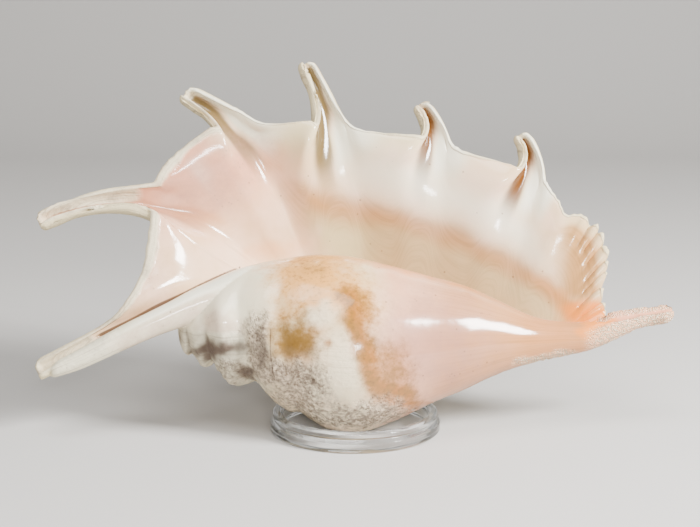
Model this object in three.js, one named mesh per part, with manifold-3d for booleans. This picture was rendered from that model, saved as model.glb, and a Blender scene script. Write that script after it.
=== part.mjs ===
// Giant spider conch shell lying on a clear ring stand.
// Millimetres, +Z up.  The front of the object faces -Y, the spire points to -X and the canal to +X.
// The shell is first drawn in its own frame: x along the coiling axis, h towards the flared lip and
// m towards the side with the opening.  It is then leaned back and set down on the ring.
import * as THREE from 'three';
import { mergeVertices } from 'three/addons/utils/BufferGeometryUtils.js';
import Module from 'manifold-3d';

const wasm = await Module();
wasm.setup();

// Driving dimensions of the ring stand
const RING_RADIUS = 43.0;
const RING_UPPER_RADIUS = 41.8;
const RING_GROOVE_RADIUS = 41.0;
const RING_INNER_RADIUS = 36.6;
const RING_HEIGHT = 10.2;
const RING_GROOVE_HEIGHT = 6.6;
const RING_SEGMENTS = 40;
const REST_GAP = 0.35;
const SEAT_WIDTH = 5;
const SHELL_GROUND_GAP = 1.6;

// Driving dimensions of the shell
const APEX_X = -88.5;
const CANAL_TIP_X = 160;
const LEAN_BACK_DEG = 27;
const AXIS_HEIGHT = 46;
const LIP_THICKNESS_ROOT = 6.0;
const LIP_THICKNESS_EDGE = 2.8;
const BODY_STATIONS = 48;
const BODY_SECTORS = 30;
const SHORTEST_EDGE = 0.15;

// Height of the centre of the cross-section at stations x
const CENTRE_LINE = [[-88, 7], [-60, 7], [0, 6.5], [60, 5], [100, 3.5], [118, 4], [130, 8], [142, 11.5], [160, 14.5]];

// Radius on the underside at stations x: stepped spire, full last whorl and slender canal
const UNDERSIDE = [
  [-88.5, 4], [-87.6, 8], [-85, 13.7], [-81.8, 13.6], [-80, 16], [-76, 19.6], [-71, 18.4], [-69, 21.5],
  [-63, 27.7], [-56, 28], [-50.5, 27], [-46, 32], [-40, 38], [-33, 42.2], [-28, 42.6], [-23, 46],
  [-14, 50.8], [-5, 52.7], [5, 52], [20, 46.5], [38, 37.5], [56, 29.5], [72, 21.5], [89, 15.2],
  [104, 11.5], [118, 9], [132, 7.6], [146, 5.4], [160, 6],
];

// Radius on the side of the opening at stations x: the glazed crest beside the trough
const CREST = [
  [-88.5, 5], [-86, 10], [-80, 16.5], [-70, 23], [-58, 29], [-50, 31.5], [-38, 34], [-20, 36.5], [-5, 36],
  [15, 32], [38, 26.5], [56, 22], [72, 15.5], [89, 8.5], [104, 6], [118, 6.5], [126, 7], [140, 5.2],
  [150, 4.6], [160, 5.4],
];

// Whorls of the spire follow a logarithmic helix around this point of the axis
const SPIRE_POLE_X = -92.4;
const SPIRE_RATIO = 0.48;

// Direction of the trough of the opening around the axis
const TROUGH_DEG = -24;

// Thick fold of glaze from the crest to the hindmost finger: x, h, m, radius
const FOLD = [
  [-20, 22, 2, 14], [-50, 24, 8, 12.5], [-75, 16.5, 11, 9.5], [-95, 7.5, 12.5, 7], [-115, -2, 12.5, 5.5],
  [-135, -12, 12, 4.2], [-150, -18.5, 11.5, 3.2],
];
const FOLD_SECTORS = 12;

// The six fingers of the lip.  base: root in the plan of the lip (x, h); heading: direction in degrees;
// length; baseHalf, tipHalf: half of the width of the rolled strip; curl: half of the angle it is
// rolled through; roll: turn of the gutter; bend: sideways bend; groove: run of the gutter inwards.
const FINGERS = [
  { base: [-118, -2], heading: 205, length: 42, baseHalf: 15, tipHalf: 10, curl: 130, roll: -25, bend: 0,
    lift: -0.05, groove: 100, front: true },
  { base: [-103, 69], heading: 178, length: 58, baseHalf: 17, tipHalf: 10, curl: 135, roll: -25, bend: 26,
    lift: -0.05, groove: 48 },
  { base: [-68, 113], heading: 141, length: 27, baseHalf: 16, tipHalf: 10, curl: 125, roll: -25, bend: 5,
    lift: -0.05, groove: 58 },
  { base: [-17, 113], heading: 104, length: 37, baseHalf: 19, tipHalf: 9, curl: 140, roll: -35, bend: 6,
    lift: -0.1, groove: 40 },
  { base: [38, 107], heading: 88, length: 20, baseHalf: 15, tipHalf: 9, curl: 135, roll: -35, bend: 40,
    lift: -0.1, groove: 34 },
  { base: [87, 90], heading: 74, length: 20, baseHalf: 15, tipHalf: 8, curl: 135, roll: -35, bend: 50,
    lift: -0.1, groove: 42 },
];

// How far the margin between neighbouring fingers sags inwards
const SAG = [6, -5, 1, 1.5, 1.5];

// Front end of the margin of the lip (x, h), with the crimped part
const MARGIN = [[106, 74], [108, 66.5], [116, 66], [124.6, 57], [127.8, 45], [126.5, 34], [124.5, 24], [127, 14], [121, 6]];

// Ribs of the lip, one per finger and between: finger number, x, h and m where it leaves the body,
// slope there, m at the margin, slope at the margin
const RIBS = [
  [0.5, -46, 30, -8, 0.2, 12, 0.1], [1, -42, 30, -16, 0.2, 11, 0.05], [2, -32, 28, -40, 0.3, 8, 0.05],
  [3, -20, 27, -51, 0.35, 4, 0.05], [4, 0, 26, -55.5, 0.35, 0, 0.08], [5, 30, 22, -44.5, 0.35, -3, 0.08],
  [6, 64, 15, -29, 0.35, -3, 0.08], [7, 88, 9, -16, 0.3, -2, 0.05], [8, 110, 3, -7, 0.15, -4, 0],
];

const CRIMP_PITCH = 7.2;
const CRIMP_HEIGHT = 1.5;
const LIP_INNER_ROWS = 8;
const LIP_ROOT_ROWS = [1, 0.5];
const LIP_ROOT_REACH = 0.42;
const LIP_ROOT_CURVE = 0.8;
const LIP_RIM = [4.5, 1.6, 0];

const rad = THREE.MathUtils.degToRad;
const deg = THREE.MathUtils.radToDeg;
const clamp = THREE.MathUtils.clamp;

// 0 below a, 1 above b and a smooth passage between, for a < b or a > b
function ease(a, b, value) {
  const t = clamp((value - a) / (b - a), 0, 1);
  return t * t * (3 - 2 * t);
}

const bell = (value, middle, width) => Math.exp(-(((value - middle) / width) ** 2));

// Smooth curve through stations [x, y, ...]; returns the list of y values at x
function along(stations, x) {
  const last = stations.length - 1;
  const at = clamp(x, stations[0][0], stations[last][0]);
  let i = 0;
  while (i < last - 1 && stations[i + 1][0] <= at) i += 1;
  const slope = (k, j) => {
    const a = stations[Math.max(k - 1, 0)];
    const b = stations[k];
    const c = stations[Math.min(k + 1, last)];
    if (k === 0) return (c[j] - b[j]) / (c[0] - b[0]);
    if (k === last) return (b[j] - a[j]) / (b[0] - a[0]);
    const before = b[0] - a[0];
    const after = c[0] - b[0];
    return (before * before * c[j] + (after * after - before * before) * b[j] - after * after * a[j])
      / (before * after * (before + after));
  };
  const step = stations[i + 1][0] - stations[i][0];
  const t = (at - stations[i][0]) / step;
  const values = [];
  for (let j = 1; j < stations[i].length; j += 1) {
    values.push((2 * t ** 3 - 3 * t ** 2 + 1) * stations[i][j] + (t ** 3 - 2 * t ** 2 + t) * step * slope(i, j)
      + (3 * t ** 2 - 2 * t ** 3) * stations[i + 1][j] + (t ** 3 - t ** 2) * step * slope(i + 1, j));
  }
  return values;
}

// Point of the body at x and turn phi in degrees: 0 lip side, 90 front, 180 underside, 270 back
function bodyPoint(x, phiDeg) {
  const turn = ((phiDeg + 40) % 360) - 40;
  const climb = SPIRE_RATIO ** (-((turn - 180) / 360) * ease(10, -50, x) * ease(20, 90, turn));
  const under = along(UNDERSIDE, SPIRE_POLE_X + (x - SPIRE_POLE_X) / climb)[0] * climb;
  const crest = along(CREST, x)[0];
  let r = crest + (under - crest) * ease(20, 180, turn);
  r *= 1 + 0.16 * ease(225, 300, turn) * ease(-60, -20, x) * ease(125, 60, x);
  r *= 1 - 0.045 * bell(turn, 212, 16) * ease(-60, -20, x);
  r *= 1 - 0.07 * bell(turn, 95, 45);
  // smooth callus knob in front of the spire
  r += 4.5 * bell(x, -66, 9) * bell(turn, 98, 24);
  // blunt knobs along the shoulder and two lower cords, on the back of the last whorl
  const back = ease(232, 252, turn) * ease(338, 316, turn);
  const knob = (pitch, middle) => (0.5 + 0.5 * Math.cos((2 * Math.PI * (turn - middle)) / pitch)) ** 2;
  r += back * (5 * bell(x, -24, 10) * knob(38, 266) + 2.2 * bell(x, 8, 7) * (0.4 + 0.6 * knob(26, 262))
    + 1.6 * bell(x, 38, 7) * (0.4 + 0.6 * knob(26, 270)));
  // trough of the opening: a round channel beside the crest, blended with the surface
  const channel = (0.4 * crest + 2.2) * ease(-75, -35, x) + 0.01;
  const distance = 0.88 * crest + 1;
  const off = rad(((phiDeg - TROUGH_DEG + 540) % 360) - 180);
  const inside = channel ** 2 - (distance * Math.sin(off)) ** 2;
  if (inside > 0 && Math.abs(off) < Math.PI / 2) {
    const near = distance * Math.cos(off) - Math.sqrt(inside);
    const blend = 0.1 * crest + 0.3;
    const w = clamp(0.5 + (0.5 * (near - r)) / blend, 0, 1);
    r = near * (1 - w) + r * w - blend * w * (1 - w);
  }
  r = Math.max(r, 0.16 * crest);
  const phi = rad(phiDeg);
  return [x, along(CENTRE_LINE, x)[0] + r * Math.cos(phi), r * Math.sin(phi)];
}

// Leans a point (x, h, m) of the shell back and raises it to its place over the ring
const LEAN = rad(LEAN_BACK_DEG);
function place([x, h, m]) {
  return [
    x,
    h * Math.sin(LEAN) - m * Math.cos(LEAN),
    AXIS_HEIGHT + h * Math.cos(LEAN) + m * Math.sin(LEAN),
  ];
}

// Keeps the underside clear of the ring and of the ground
function restOnRing([x, y, z]) {
  const r = Math.hypot(x, y);
  const seat = RING_HEIGHT + REST_GAP + 0.1;
  const wall = RING_INNER_RADIUS - SEAT_WIDTH;
  if (r > RING_RADIUS + 2 || z > seat + 6) return [x, y, z];
  const floor = r > wall ? seat : Math.max(SHELL_GROUND_GAP, seat - (wall - r) * 1.25);
  return [x, y, Math.max(z, floor)];
}

// Closed mesh from a grid of points: rings[i] is a closed loop, the ends are capped
function tube(rings) {
  const positions = rings.flat();
  const n = rings[0].length;
  const faces = [];
  for (let i = 0; i < rings.length - 1; i += 1) {
    for (let j = 0; j < n; j += 1) {
      const a = i * n + j;
      const b = i * n + ((j + 1) % n);
      faces.push([a, b, b + n], [a, b + n, a + n]);
    }
  }
  [0, rings.length - 1].forEach((end) => {
    const middle = positions.length;
    const loop = rings[end];
    positions.push([0, 1, 2].map((k) => loop.reduce((sum, p) => sum + p[k], 0) / n));
    for (let j = 0; j < n; j += 1) {
      const a = end * n + j;
      const b = end * n + ((j + 1) % n);
      faces.push(end === 0 ? [middle, b, a] : [middle, a, b]);
    }
  });
  return { positions, faces };
}

function bodyMesh() {
  const rings = [];
  for (let i = 0; i < BODY_STATIONS; i += 1) {
    const u = i / (BODY_STATIONS - 1);
    const x = APEX_X + (CANAL_TIP_X - APEX_X) * (0.62 * u + 0.38 * u ** 2.2);
    const ring = [];
    for (let j = 0; j < BODY_SECTORS; j += 1) ring.push(bodyPoint(x, (360 * j) / BODY_SECTORS));
    rings.push(ring);
  }
  return tube(rings);
}

function foldMesh() {
  const rings = [];
  const table = FOLD.map((row, i) => [i, ...row]);
  const steps = 16;
  for (let i = 0; i <= steps; i += 1) {
    const at = (i / steps) * (FOLD.length - 1);
    const [x, h, m, radius] = along(table, at);
    const end = Math.abs((2 * i) / steps - 1) > 0.99 ? 0.55 : 1;
    const ring = [];
    for (let j = 0; j < FOLD_SECTORS; j += 1) {
      const phi = (2 * Math.PI * j) / FOLD_SECTORS;
      ring.push([x, h + radius * end * Math.cos(phi), m + radius * end * Math.sin(phi)]);
    }
    rings.push(ring);
  }
  return tube(rings.reverse());
}

// Half width of a finger at distance a from its base
function halfWidth(finger, a) {
  const t = clamp(a / finger.length, 0, 1);
  const w = finger.baseHalf + (finger.tipHalf - finger.baseHalf) * t ** 0.8;
  const round = clamp((a - (finger.length - 3)) / 3.2, 0, 1);
  return w * Math.sqrt(Math.max(1 - round ** 2, 0.25));
}

const axes = FINGERS.map(({ heading }) => {
  const d = [Math.cos(rad(heading)), Math.sin(rad(heading))];
  return { d, n: [d[1], -d[0]] };
});

const spot = (i, a, b) => [0, 1].map((k) => FINGERS[i].base[k] + axes[i].d[k] * a + axes[i].n[k] * b);
const steps = (from, to, count) => Array.from({ length: count }, (_, i) => from + ((to - from) * i) / (count - 1));

// Margin of the lip in its plan.  Each entry has the point, the finger number there, a control point
// that leads the columns of the lip up into the fingers, and the point where the sheet ends.
const REACH = 90;
function outline() {
  const list = [];
  const gaps = SAG.map((_, i) => Math.hypot(
    FINGERS[i + 1].base[0] - FINGERS[i].base[0],
    FINGERS[i + 1].base[1] - FINGERS[i].base[1],
  ));
  FINGERS.forEach((finger, i) => {
    const share = (gap) => (0.9 * finger.baseHalf) / gap;
    const left = share(gaps[Math.max(i - 1, 0)]);
    const right = share(gaps[Math.min(i, gaps.length - 1)]);
    const add = (a, b, side) => {
      const up = Math.max(a, 0);
      const narrow = REACH / (REACH + up) / finger.baseHalf;
      const spread = 1 - 0.45 * clamp(up / finger.length, 0, 1);
      const point = spot(i, a, b);
      const knee = a <= 0 ? point : spot(i, 0, (b / halfWidth(finger, up)) * finger.baseHalf * spread);
      const sheet = a < 0 ? spot(i, 0, -finger.baseHalf) : knee;
      list.push({ point, number: i + 1 + side * b * narrow, knee, sheet });
    };
    if (finger.front) steps(-90, -9, 10).forEach((a) => add(a, -finger.baseHalf, left));
    const count = Math.max(4, Math.round(finger.length / 7));
    steps(0, finger.length, count).forEach((a) => add(a, -halfWidth(finger, a), left));
    [-0.4, 0.4].forEach((t) => add(finger.length, t * halfWidth(finger, finger.length), t < 0 ? left : right));
    steps(finger.length, 0, count).forEach((a) => add(a, halfWidth(finger, a), right));
    if (i < SAG.length) {
      const p = spot(i, 0, finger.baseHalf);
      const q = spot(i + 1, 0, -FINGERS[i + 1].baseHalf);
      const middle = [(p[0] + q[0]) / 2, (p[1] + q[1]) / 2];
      const size = Math.hypot(middle[0], middle[1] - 20);
      const pull = [middle[0] - (2 * SAG[i] * middle[0]) / size, middle[1] - (2 * SAG[i] * (middle[1] - 20)) / size];
      const from = i + 1 + right;
      const to = i + 2 - (0.9 * FINGERS[i + 1].baseHalf) / gaps[i];
      const arc = Math.round(Math.hypot(p[0] - q[0], p[1] - q[1]) / 6);
      steps(0, 1, arc + 1).slice(1, -1).forEach((t) => {
        const point = [0, 1].map((k) => (1 - t) ** 2 * p[k] + 2 * t * (1 - t) * pull[k] + t * t * q[k]);
        list.push({ point, number: from + (to - from) * t, knee: point, sheet: point });
      });
    }
  });
  // front end of the margin, in steps of a third of a crimp
  const table = MARGIN.map((row, i) => [i, ...row]);
  const fine = steps(0, MARGIN.length - 1, 200).map((s) => along(table, s));
  const start = list[list.length - 1];
  let run = 0;
  const runs = fine.map((p, i) => {
    const q = i === 0 ? start.point : fine[i - 1];
    run += Math.hypot(p[0] - q[0], p[1] - q[1]);
    return run;
  });
  const count = Math.round((3 * run) / CRIMP_PITCH);
  for (let i = 1; i <= count; i += 1) {
    const target = (run * i) / count;
    let k = runs.findIndex((value) => value >= target - 1e-9);
    if (k < 0) k = runs.length - 1;
    const point = fine[k];
    list.push({ point, number: start.number + ((8 - start.number) * i) / count, knee: point, sheet: point, crimp: target });
  }
  return list;
}

// Soft limit that stays below 1
const SOFT_POWER = 5;
const SOFT_EDGE = 2 ** (-1 / SOFT_POWER);
const soft = (q) => q / (1 + Math.abs(q) ** SOFT_POWER) ** (1 / SOFT_POWER);

// Rolls the sheet up into the gutter of one finger; flat is the plan position of the point
function rollUp(finger, i, flat, sheetHeight, point) {
  const { d, n } = axes[i];
  const dx = flat[0] - finger.base[0];
  const dy = flat[1] - finger.base[1];
  const a = dx * d[0] + dy * d[1];
  const b = dx * n[0] + dy * n[1];
  const inner = Math.min(a, 0);
  const run = Math.max(a, 0);
  const half = a > 0 ? halfWidth(finger, Math.min(a, finger.length - 0.5))
    : finger.baseHalf * (1 - 0.35 * ease(0, -finger.groove, a));
  const q = b / half;
  const full = rad(finger.curl) / SOFT_EDGE;
  let curl = Math.max(full * ease(-finger.groove, 14, a), 0.02);
  if (finger.front && b < 0) curl = full;
  const r = half / curl;
  const strip = half * soft(q);
  const angle = (curl * strip) / half;
  const roll = rad(finger.roll) * ease(-finger.groove * 0.8, finger.length * 0.35, a);
  const side = r * Math.sin(angle + roll) - r * Math.sin(roll) + b - strip;
  const rise = r * (1 - Math.cos(angle + roll)) - r * (1 - Math.cos(roll));
  let depth = r * (1 - Math.cos(curl * SOFT_EDGE));
  if (finger.front) depth *= ease(-20, 10, a);
  const start = rad(finger.heading);
  const bend = rad(finger.bend) / finger.length;
  const turn = start + bend * run;
  const travel = bend > 1e-6
    ? [(Math.sin(turn) - Math.sin(start)) / bend, (Math.cos(start) - Math.cos(turn)) / bend]
    : [run * d[0], run * d[1]];
  const target = [
    finger.base[0] + travel[0] + inner * d[0] + Math.sin(turn) * side,
    finger.base[1] + travel[1] + inner * d[1] - Math.cos(turn) * side,
    sheetHeight - 0.85 * depth + rise + (finger.lift * run ** 2) / finger.length,
  ];
  let share = ease(2.3, 1, Math.abs(q));
  if (finger.front && b < 0) share = ease(2.3, 1.3, Math.abs(q)) * ease(-102, -86, a);
  share *= 1 - ease(0, 14, a) * ease(1, 1.5, Math.abs(q));
  return point.map((value, k) => value * (1 - share) + target[k] * share);
}

// Middle surface of the lip: one column per point of the margin, from the body outwards
function lipColumns() {
  return outline().map(({ point: end, number, knee, sheet, crimp }) => {
    const [x, h, m0, slope0, m1, slope1] = along(RIBS, number);
    const path = steps(0, 1, 61).map((t) => [x, h].map((value, k) => (
      (1 - t) ** 2 * value + 2 * t * (1 - t) * knee[k] + t * t * end[k])));
    const runs = [0];
    for (let k = 1; k < path.length; k += 1) {
      runs.push(runs[k - 1] + Math.hypot(path[k][0] - path[k - 1][0], path[k][1] - path[k - 1][1]));
    }
    const full = runs[runs.length - 1];
    const reach = Math.hypot(sheet[0] - x, sheet[1] - h);
    const last = Math.max(full - LIP_RIM[0], full * 0.6);
    const rows = LIP_ROOT_ROWS.map((part) => part * LIP_ROOT_REACH * m0);
    rows.push(...steps(0, 1, LIP_INNER_ROWS + 1).slice(0, -1).map((u) => u * last));
    LIP_RIM.forEach((distance) => rows.push(full - Math.min(distance, (full * 0.3 * distance) / LIP_RIM[0])));
    return rows.map((run) => {
      let k = runs.findIndex((value) => value >= run - 1e-9);
      if (k < 1) k = 1;
      const t = (run - runs[k - 1]) / (runs[k] - runs[k - 1]);
      const flat = [0, 1].map((j) => path[k - 1][j] + (path[k][j] - path[k - 1][j]) * t);
      const u = run / reach;
      const v = Math.min(u, 1);
      let height = (2 * v ** 3 - 3 * v ** 2 + 1) * m0 + (v ** 3 - 2 * v ** 2 + v) * slope0 * reach
        + (3 * v ** 2 - 2 * v ** 3) * m1 + (v ** 3 - v ** 2) * slope1 * reach;
      height += Math.max(u - 1, 0) * reach * slope1;
      // behind its root the lip dives into the back of the body
      if (run < 0) height = m0 + slope0 * run - (LIP_ROOT_CURVE * run * run) / m0;
      if (crimp) {
        const wave = Math.sin((2 * Math.PI * crimp) / CRIMP_PITCH);
        const part = ease(6.75, 6.95, number) * ease(7.9, 7.6, number);
        height += CRIMP_HEIGHT * wave * part * Math.exp(-(full - run) / 14);
      }
      let point = [flat[0], flat[1], height];
      FINGERS.forEach((finger, i) => {
        point = rollUp(finger, i, flat, height, point);
      });
      return { point, edge: full - run, taper: run < 0 ? 1 + (0.7 * run) / (LIP_ROOT_REACH * -m0) : 1 };
    });
  });
}

// Lip as a closed slab: the middle surface thickened to both sides, thinning to the margin
function lipMesh() {
  const columns = lipColumns();
  const count = columns.length;
  const rows = columns[0].length;
  const at = (i, j) => new THREE.Vector3(...columns[clamp(i, 0, count - 1)][clamp(j, 0, rows - 1)].point);
  const positions = [];
  const offsets = columns.map((column, i) => column.map(({ edge, taper }, j) => {
    const across = at(i + 1, j).sub(at(i - 1, j));
    const outwards = at(i, j + 1).sub(at(i, j - 1));
    const normal = outwards.cross(across).normalize();
    const thickness = LIP_THICKNESS_EDGE + (LIP_THICKNESS_ROOT - LIP_THICKNESS_EDGE) * ease(10, 80, edge);
    return normal.multiplyScalar((edge < 0.1 ? 0.45 : taper) * thickness * 0.5);
  }));
  [1, -1].forEach((side) => {
    for (let i = 0; i < count; i += 1) {
      for (let j = 0; j < rows; j += 1) {
        positions.push(at(i, j).addScaledVector(offsets[i][j], side).toArray());
      }
    }
  });
  const faces = [];
  const half = count * rows;
  const quad = (a, b, c, d) => faces.push([a, b, c], [a, c, d]);
  for (let i = 0; i < count - 1; i += 1) {
    for (let j = 0; j < rows - 1; j += 1) {
      const a = i * rows + j;
      quad(a, a + 1, a + 1 + rows, a + rows);
      quad(half + a, half + a + rows, half + a + 1 + rows, half + a + 1);
    }
    const a = i * rows;
    quad(a, a + rows, half + a + rows, half + a);
    const b = a + rows - 1;
    quad(b, half + b, half + b + rows, b + rows);
  }
  for (let j = 0; j < rows - 1; j += 1) {
    const b = (count - 1) * rows + j;
    quad(j, half + j, half + j + 1, j + 1);
    quad(b, b + 1, half + b + 1, half + b);
  }
  return { positions, faces };
}

function solid({ positions, faces }) {
  const vertProperties = new Float32Array(positions.map((p) => restOnRing(place(p))).flat());
  const triVerts = new Uint32Array(faces.flat());
  return new wasm.Manifold(new wasm.Mesh({ numProp: 3, vertProperties, triVerts }));
}

// Geometry of the outer skin of a solid: pockets that the joined pieces shut in are filled up
function skinOf(manifold) {
  const mesh = manifold.getMesh();
  const owner = Array.from({ length: mesh.numVert }, (_, i) => i);
  const find = (i) => {
    let root = i;
    while (owner[root] !== root) root = owner[root];
    owner[i] = root;
    return root;
  };
  const triangles = steps(0, mesh.triVerts.length / 3 - 1, mesh.triVerts.length / 3).map((t) => {
    const corners = [0, 1, 2].map((k) => mesh.triVerts[3 * Math.round(t) + k]);
    owner[find(corners[1])] = find(corners[0]);
    owner[find(corners[2])] = find(corners[0]);
    return corners;
  });
  const sizes = new Map();
  triangles.forEach(([first]) => sizes.set(find(first), (sizes.get(find(first)) || 0) + 1));
  const largest = [...sizes].sort((p, q) => q[1] - p[1])[0][0];
  const positions = [];
  for (let i = 0; i < mesh.numVert; i += 1) {
    positions.push([0, 1, 2].map((k) => mesh.vertProperties[i * mesh.numProp + k]));
  }
  const kept = withoutShortEdges(positions, triangles.filter(([first]) => find(first) === largest));
  const geometry = new THREE.BufferGeometry();
  geometry.setAttribute('position', new THREE.BufferAttribute(new Float32Array(positions.flat()), 3));
  geometry.setIndex(kept.flat());
  return mergeVertices(geometry);
}

// Draws the two ends of every very short edge together where the surface stays whole
function withoutShortEdges(positions, triangles) {
  const around = positions.map(() => new Set());
  const faces = triangles.map((corners) => [...corners]);
  faces.forEach((corners, t) => corners.forEach((v) => around[v].add(t)));
  const neighbours = (v) => {
    const found = new Set();
    around[v].forEach((t) => faces[t].forEach((w) => { if (w !== v) found.add(w); }));
    return found;
  };
  const distance = (a, b) => Math.hypot(...positions[a].map((value, k) => value - positions[b][k]));
  for (let round = 0; round < 6; round += 1) {
    let changed = 0;
    for (let t = 0; t < faces.length; t += 1) {
      for (let k = 0; faces[t] && k < 3; k += 1) {
        const a = faces[t][k];
        const b = faces[t][(k + 1) % 3];
        if (distance(a, b) < SHORTEST_EDGE) {
          const near = neighbours(a);
          const shared = [...neighbours(b)].filter((v) => near.has(v));
          if (shared.length === 2) {
            changed += 1;
            [...around[b]].forEach((u) => {
              if (faces[u].includes(a)) {
                faces[u].forEach((v) => around[v].delete(u));
                faces[u] = null;
              } else {
                faces[u] = faces[u].map((v) => (v === b ? a : v));
                around[a].add(u);
              }
            });
            around[b].clear();
          }
        }
      }
    }
    if (!changed) break;
  }
  return faces.filter(Boolean);
}

// Clear ring with a wide lower band, a groove and a narrower upper band
function ringGeometry() {
  const profile = [
    [RING_INNER_RADIUS + 1, 0], [RING_RADIUS - 1, 0], [RING_RADIUS, 1], [RING_RADIUS, 5],
    [RING_GROOVE_RADIUS, RING_GROOVE_HEIGHT], [RING_UPPER_RADIUS, RING_GROOVE_HEIGHT + 1],
    [RING_UPPER_RADIUS - 0.3, RING_HEIGHT - 1], [RING_UPPER_RADIUS - 1.6, RING_HEIGHT],
    [RING_INNER_RADIUS + 1.4, RING_HEIGHT], [RING_INNER_RADIUS + 0.2, RING_HEIGHT - 1.2],
    [RING_INNER_RADIUS, 1.2], [RING_INNER_RADIUS + 1, 0],
  ].map(([r, z]) => new THREE.Vector2(r, z));
  const geometry = new THREE.LatheGeometry(profile, RING_SEGMENTS);
  geometry.rotateX(Math.PI / 2);
  return geometry;
}

const shellMaterial = new THREE.MeshStandardMaterial({ color: '#e9d3c4', roughness: 0.35, metalness: 0 });
shellMaterial.name = 'shell';
const clearMaterial = new THREE.MeshStandardMaterial({ color: '#c9d2da', roughness: 0.05, metalness: 0, transparent: true, opacity: 0.4 });
clearMaterial.name = 'clear_plastic';

const shell = new THREE.Mesh(skinOf(solid(bodyMesh()).add(solid(foldMesh())).add(solid(lipMesh()))), shellMaterial);
shell.name = 'shell';
const ring = new THREE.Mesh(ringGeometry(), clearMaterial);
ring.name = 'ring_stand';

// Origin at the middle of the footprint of the whole object, at ground level
const group = new THREE.Group();
group.name = 'spider_conch';
group.add(shell, ring);
const box = new THREE.Box3().setFromObject(group);
[shell, ring].forEach((mesh) => {
  mesh.geometry.translate(-(box.min.x + box.max.x) / 2, -(box.min.y + box.max.y) / 2, -box.min.z);
});

export default group;
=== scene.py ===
"""Looks of a spider conch shell lying on a clear ring stand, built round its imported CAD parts."""

import math
from types import SimpleNamespace

import bmesh
import bpy
import numpy as np
from bpy.props import FloatProperty, FloatVectorProperty, IntProperty, PointerProperty
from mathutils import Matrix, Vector
from mathutils.kdtree import KDTree
from mathutils.noise import noise_vector, seed_set


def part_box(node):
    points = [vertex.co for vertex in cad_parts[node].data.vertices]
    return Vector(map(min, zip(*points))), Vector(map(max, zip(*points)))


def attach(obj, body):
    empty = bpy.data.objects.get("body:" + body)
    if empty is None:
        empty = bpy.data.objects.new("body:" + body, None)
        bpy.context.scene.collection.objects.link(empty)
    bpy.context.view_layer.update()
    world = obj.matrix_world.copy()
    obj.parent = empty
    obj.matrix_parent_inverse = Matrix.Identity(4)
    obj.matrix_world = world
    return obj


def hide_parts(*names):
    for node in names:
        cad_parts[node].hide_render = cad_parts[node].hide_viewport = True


bl_info = {
    "name": "Spider conch shell",
    "version": (1, 0, 0),
    "blender": (4, 5, 0),
    "location": "3D View > Sidebar > Conch",
    "description": "Builds a spider conch shell, its clear ring stand and a plain studio round them",
    "category": "Object",
}

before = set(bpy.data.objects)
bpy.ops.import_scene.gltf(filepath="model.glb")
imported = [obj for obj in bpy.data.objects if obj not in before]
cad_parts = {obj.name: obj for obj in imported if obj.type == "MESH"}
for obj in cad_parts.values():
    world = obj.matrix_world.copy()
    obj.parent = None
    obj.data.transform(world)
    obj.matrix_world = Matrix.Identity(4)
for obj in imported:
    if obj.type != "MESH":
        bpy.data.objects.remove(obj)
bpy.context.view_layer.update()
MM = 0.001

# The shell is worked out in mm in its own frame: x along the coiling axis from spire to canal, h towards
# the lip and m towards the viewer. It is then leaned back and set on the ring.

# Height of the centre of the shell's cross-section at stations x, in mm along the coiling axis
CENTRE_LINE = [
    (-88, 7), (-60, 7), (0, 6.5), (60, 5), (100, 3.5), (118, 4), (130, 8), (142, 11.5), (160, 14.5),
]

# Radius on the underside: stepped spire, full last whorl and slender canal
UNDERSIDE = [
    (-88.5, 4), (-87.6, 8), (-85, 13.7), (-81.8, 13.6), (-80, 16), (-76, 19.6), (-71, 18.4), (-69, 21.5),
    (-63, 27.7), (-56, 28), (-50.5, 27), (-46, 32), (-40, 38), (-33, 42.2), (-28, 42.6), (-23, 46),
    (-14, 50.8), (-5, 52.7), (5, 52), (20, 46.5), (38, 37.5), (56, 29.5), (72, 21.5), (89, 15.2),
    (104, 11.5), (118, 9), (132, 7.6), (146, 5.4), (160, 6),
]

# Radius on the side of the opening: the glazed crest beside the trough
CREST = [
    (-88.5, 5), (-86, 10), (-80, 16.5), (-70, 23), (-58, 29), (-50, 31.5), (-38, 34), (-20, 36.5), (-5, 36),
    (15, 32), (38, 26.5), (56, 22), (72, 15.5), (89, 8.5), (104, 6), (118, 6.5), (126, 7), (140, 5.2),
    (150, 4.6), (160, 5.4),
]
APEX_X = -88.5
CANAL_TIP_X = 160.0

# Whorls of the spire climb as a logarithmic helix round this point of the axis
SPIRE_POLE_X = -92.4
SPIRE_RATIO = 0.48
SPIRE_START_X = -18.0
TROUGH_DEG = -24.0
CANAL_TROUGH_DEG = 46.0

# Thick fold of glaze from the crest to the hindmost finger: x, h, m, radius
FOLD = [
    (-20, 22, 2, 14), (-50, 24, 8, 12.5), (-75, 16.5, 11, 9.5), (-95, 7.5, 13.2, 7.2),
    (-115, -2, 13.2, 6.4), (-135, -12, 12, 5.2), (-150, -18.5, 11.5, 3.6),
]


def finger(base, heading, length, base_half, tip_half, curl, roll, bend, lift, groove, front=False):
    """One rolled finger of the lip: root in the plan, direction, length and half widths, in mm and degrees.

    Its gutter begins groove mm before the root. The finger marked front has its near side rolled all along.
    """
    start = math.radians(heading)
    along = np.array([math.cos(start), math.sin(start)])
    across = np.array([along[1], -along[0]])
    return dict(
        base=np.array(base, float), start=start, along=along, across=across, length=length,
        base_half=base_half, tip_half=tip_half, curl=math.radians(curl), roll=math.radians(roll),
        bend=math.radians(bend) / length, lift=lift, groove=groove, front=front,
    )


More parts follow.
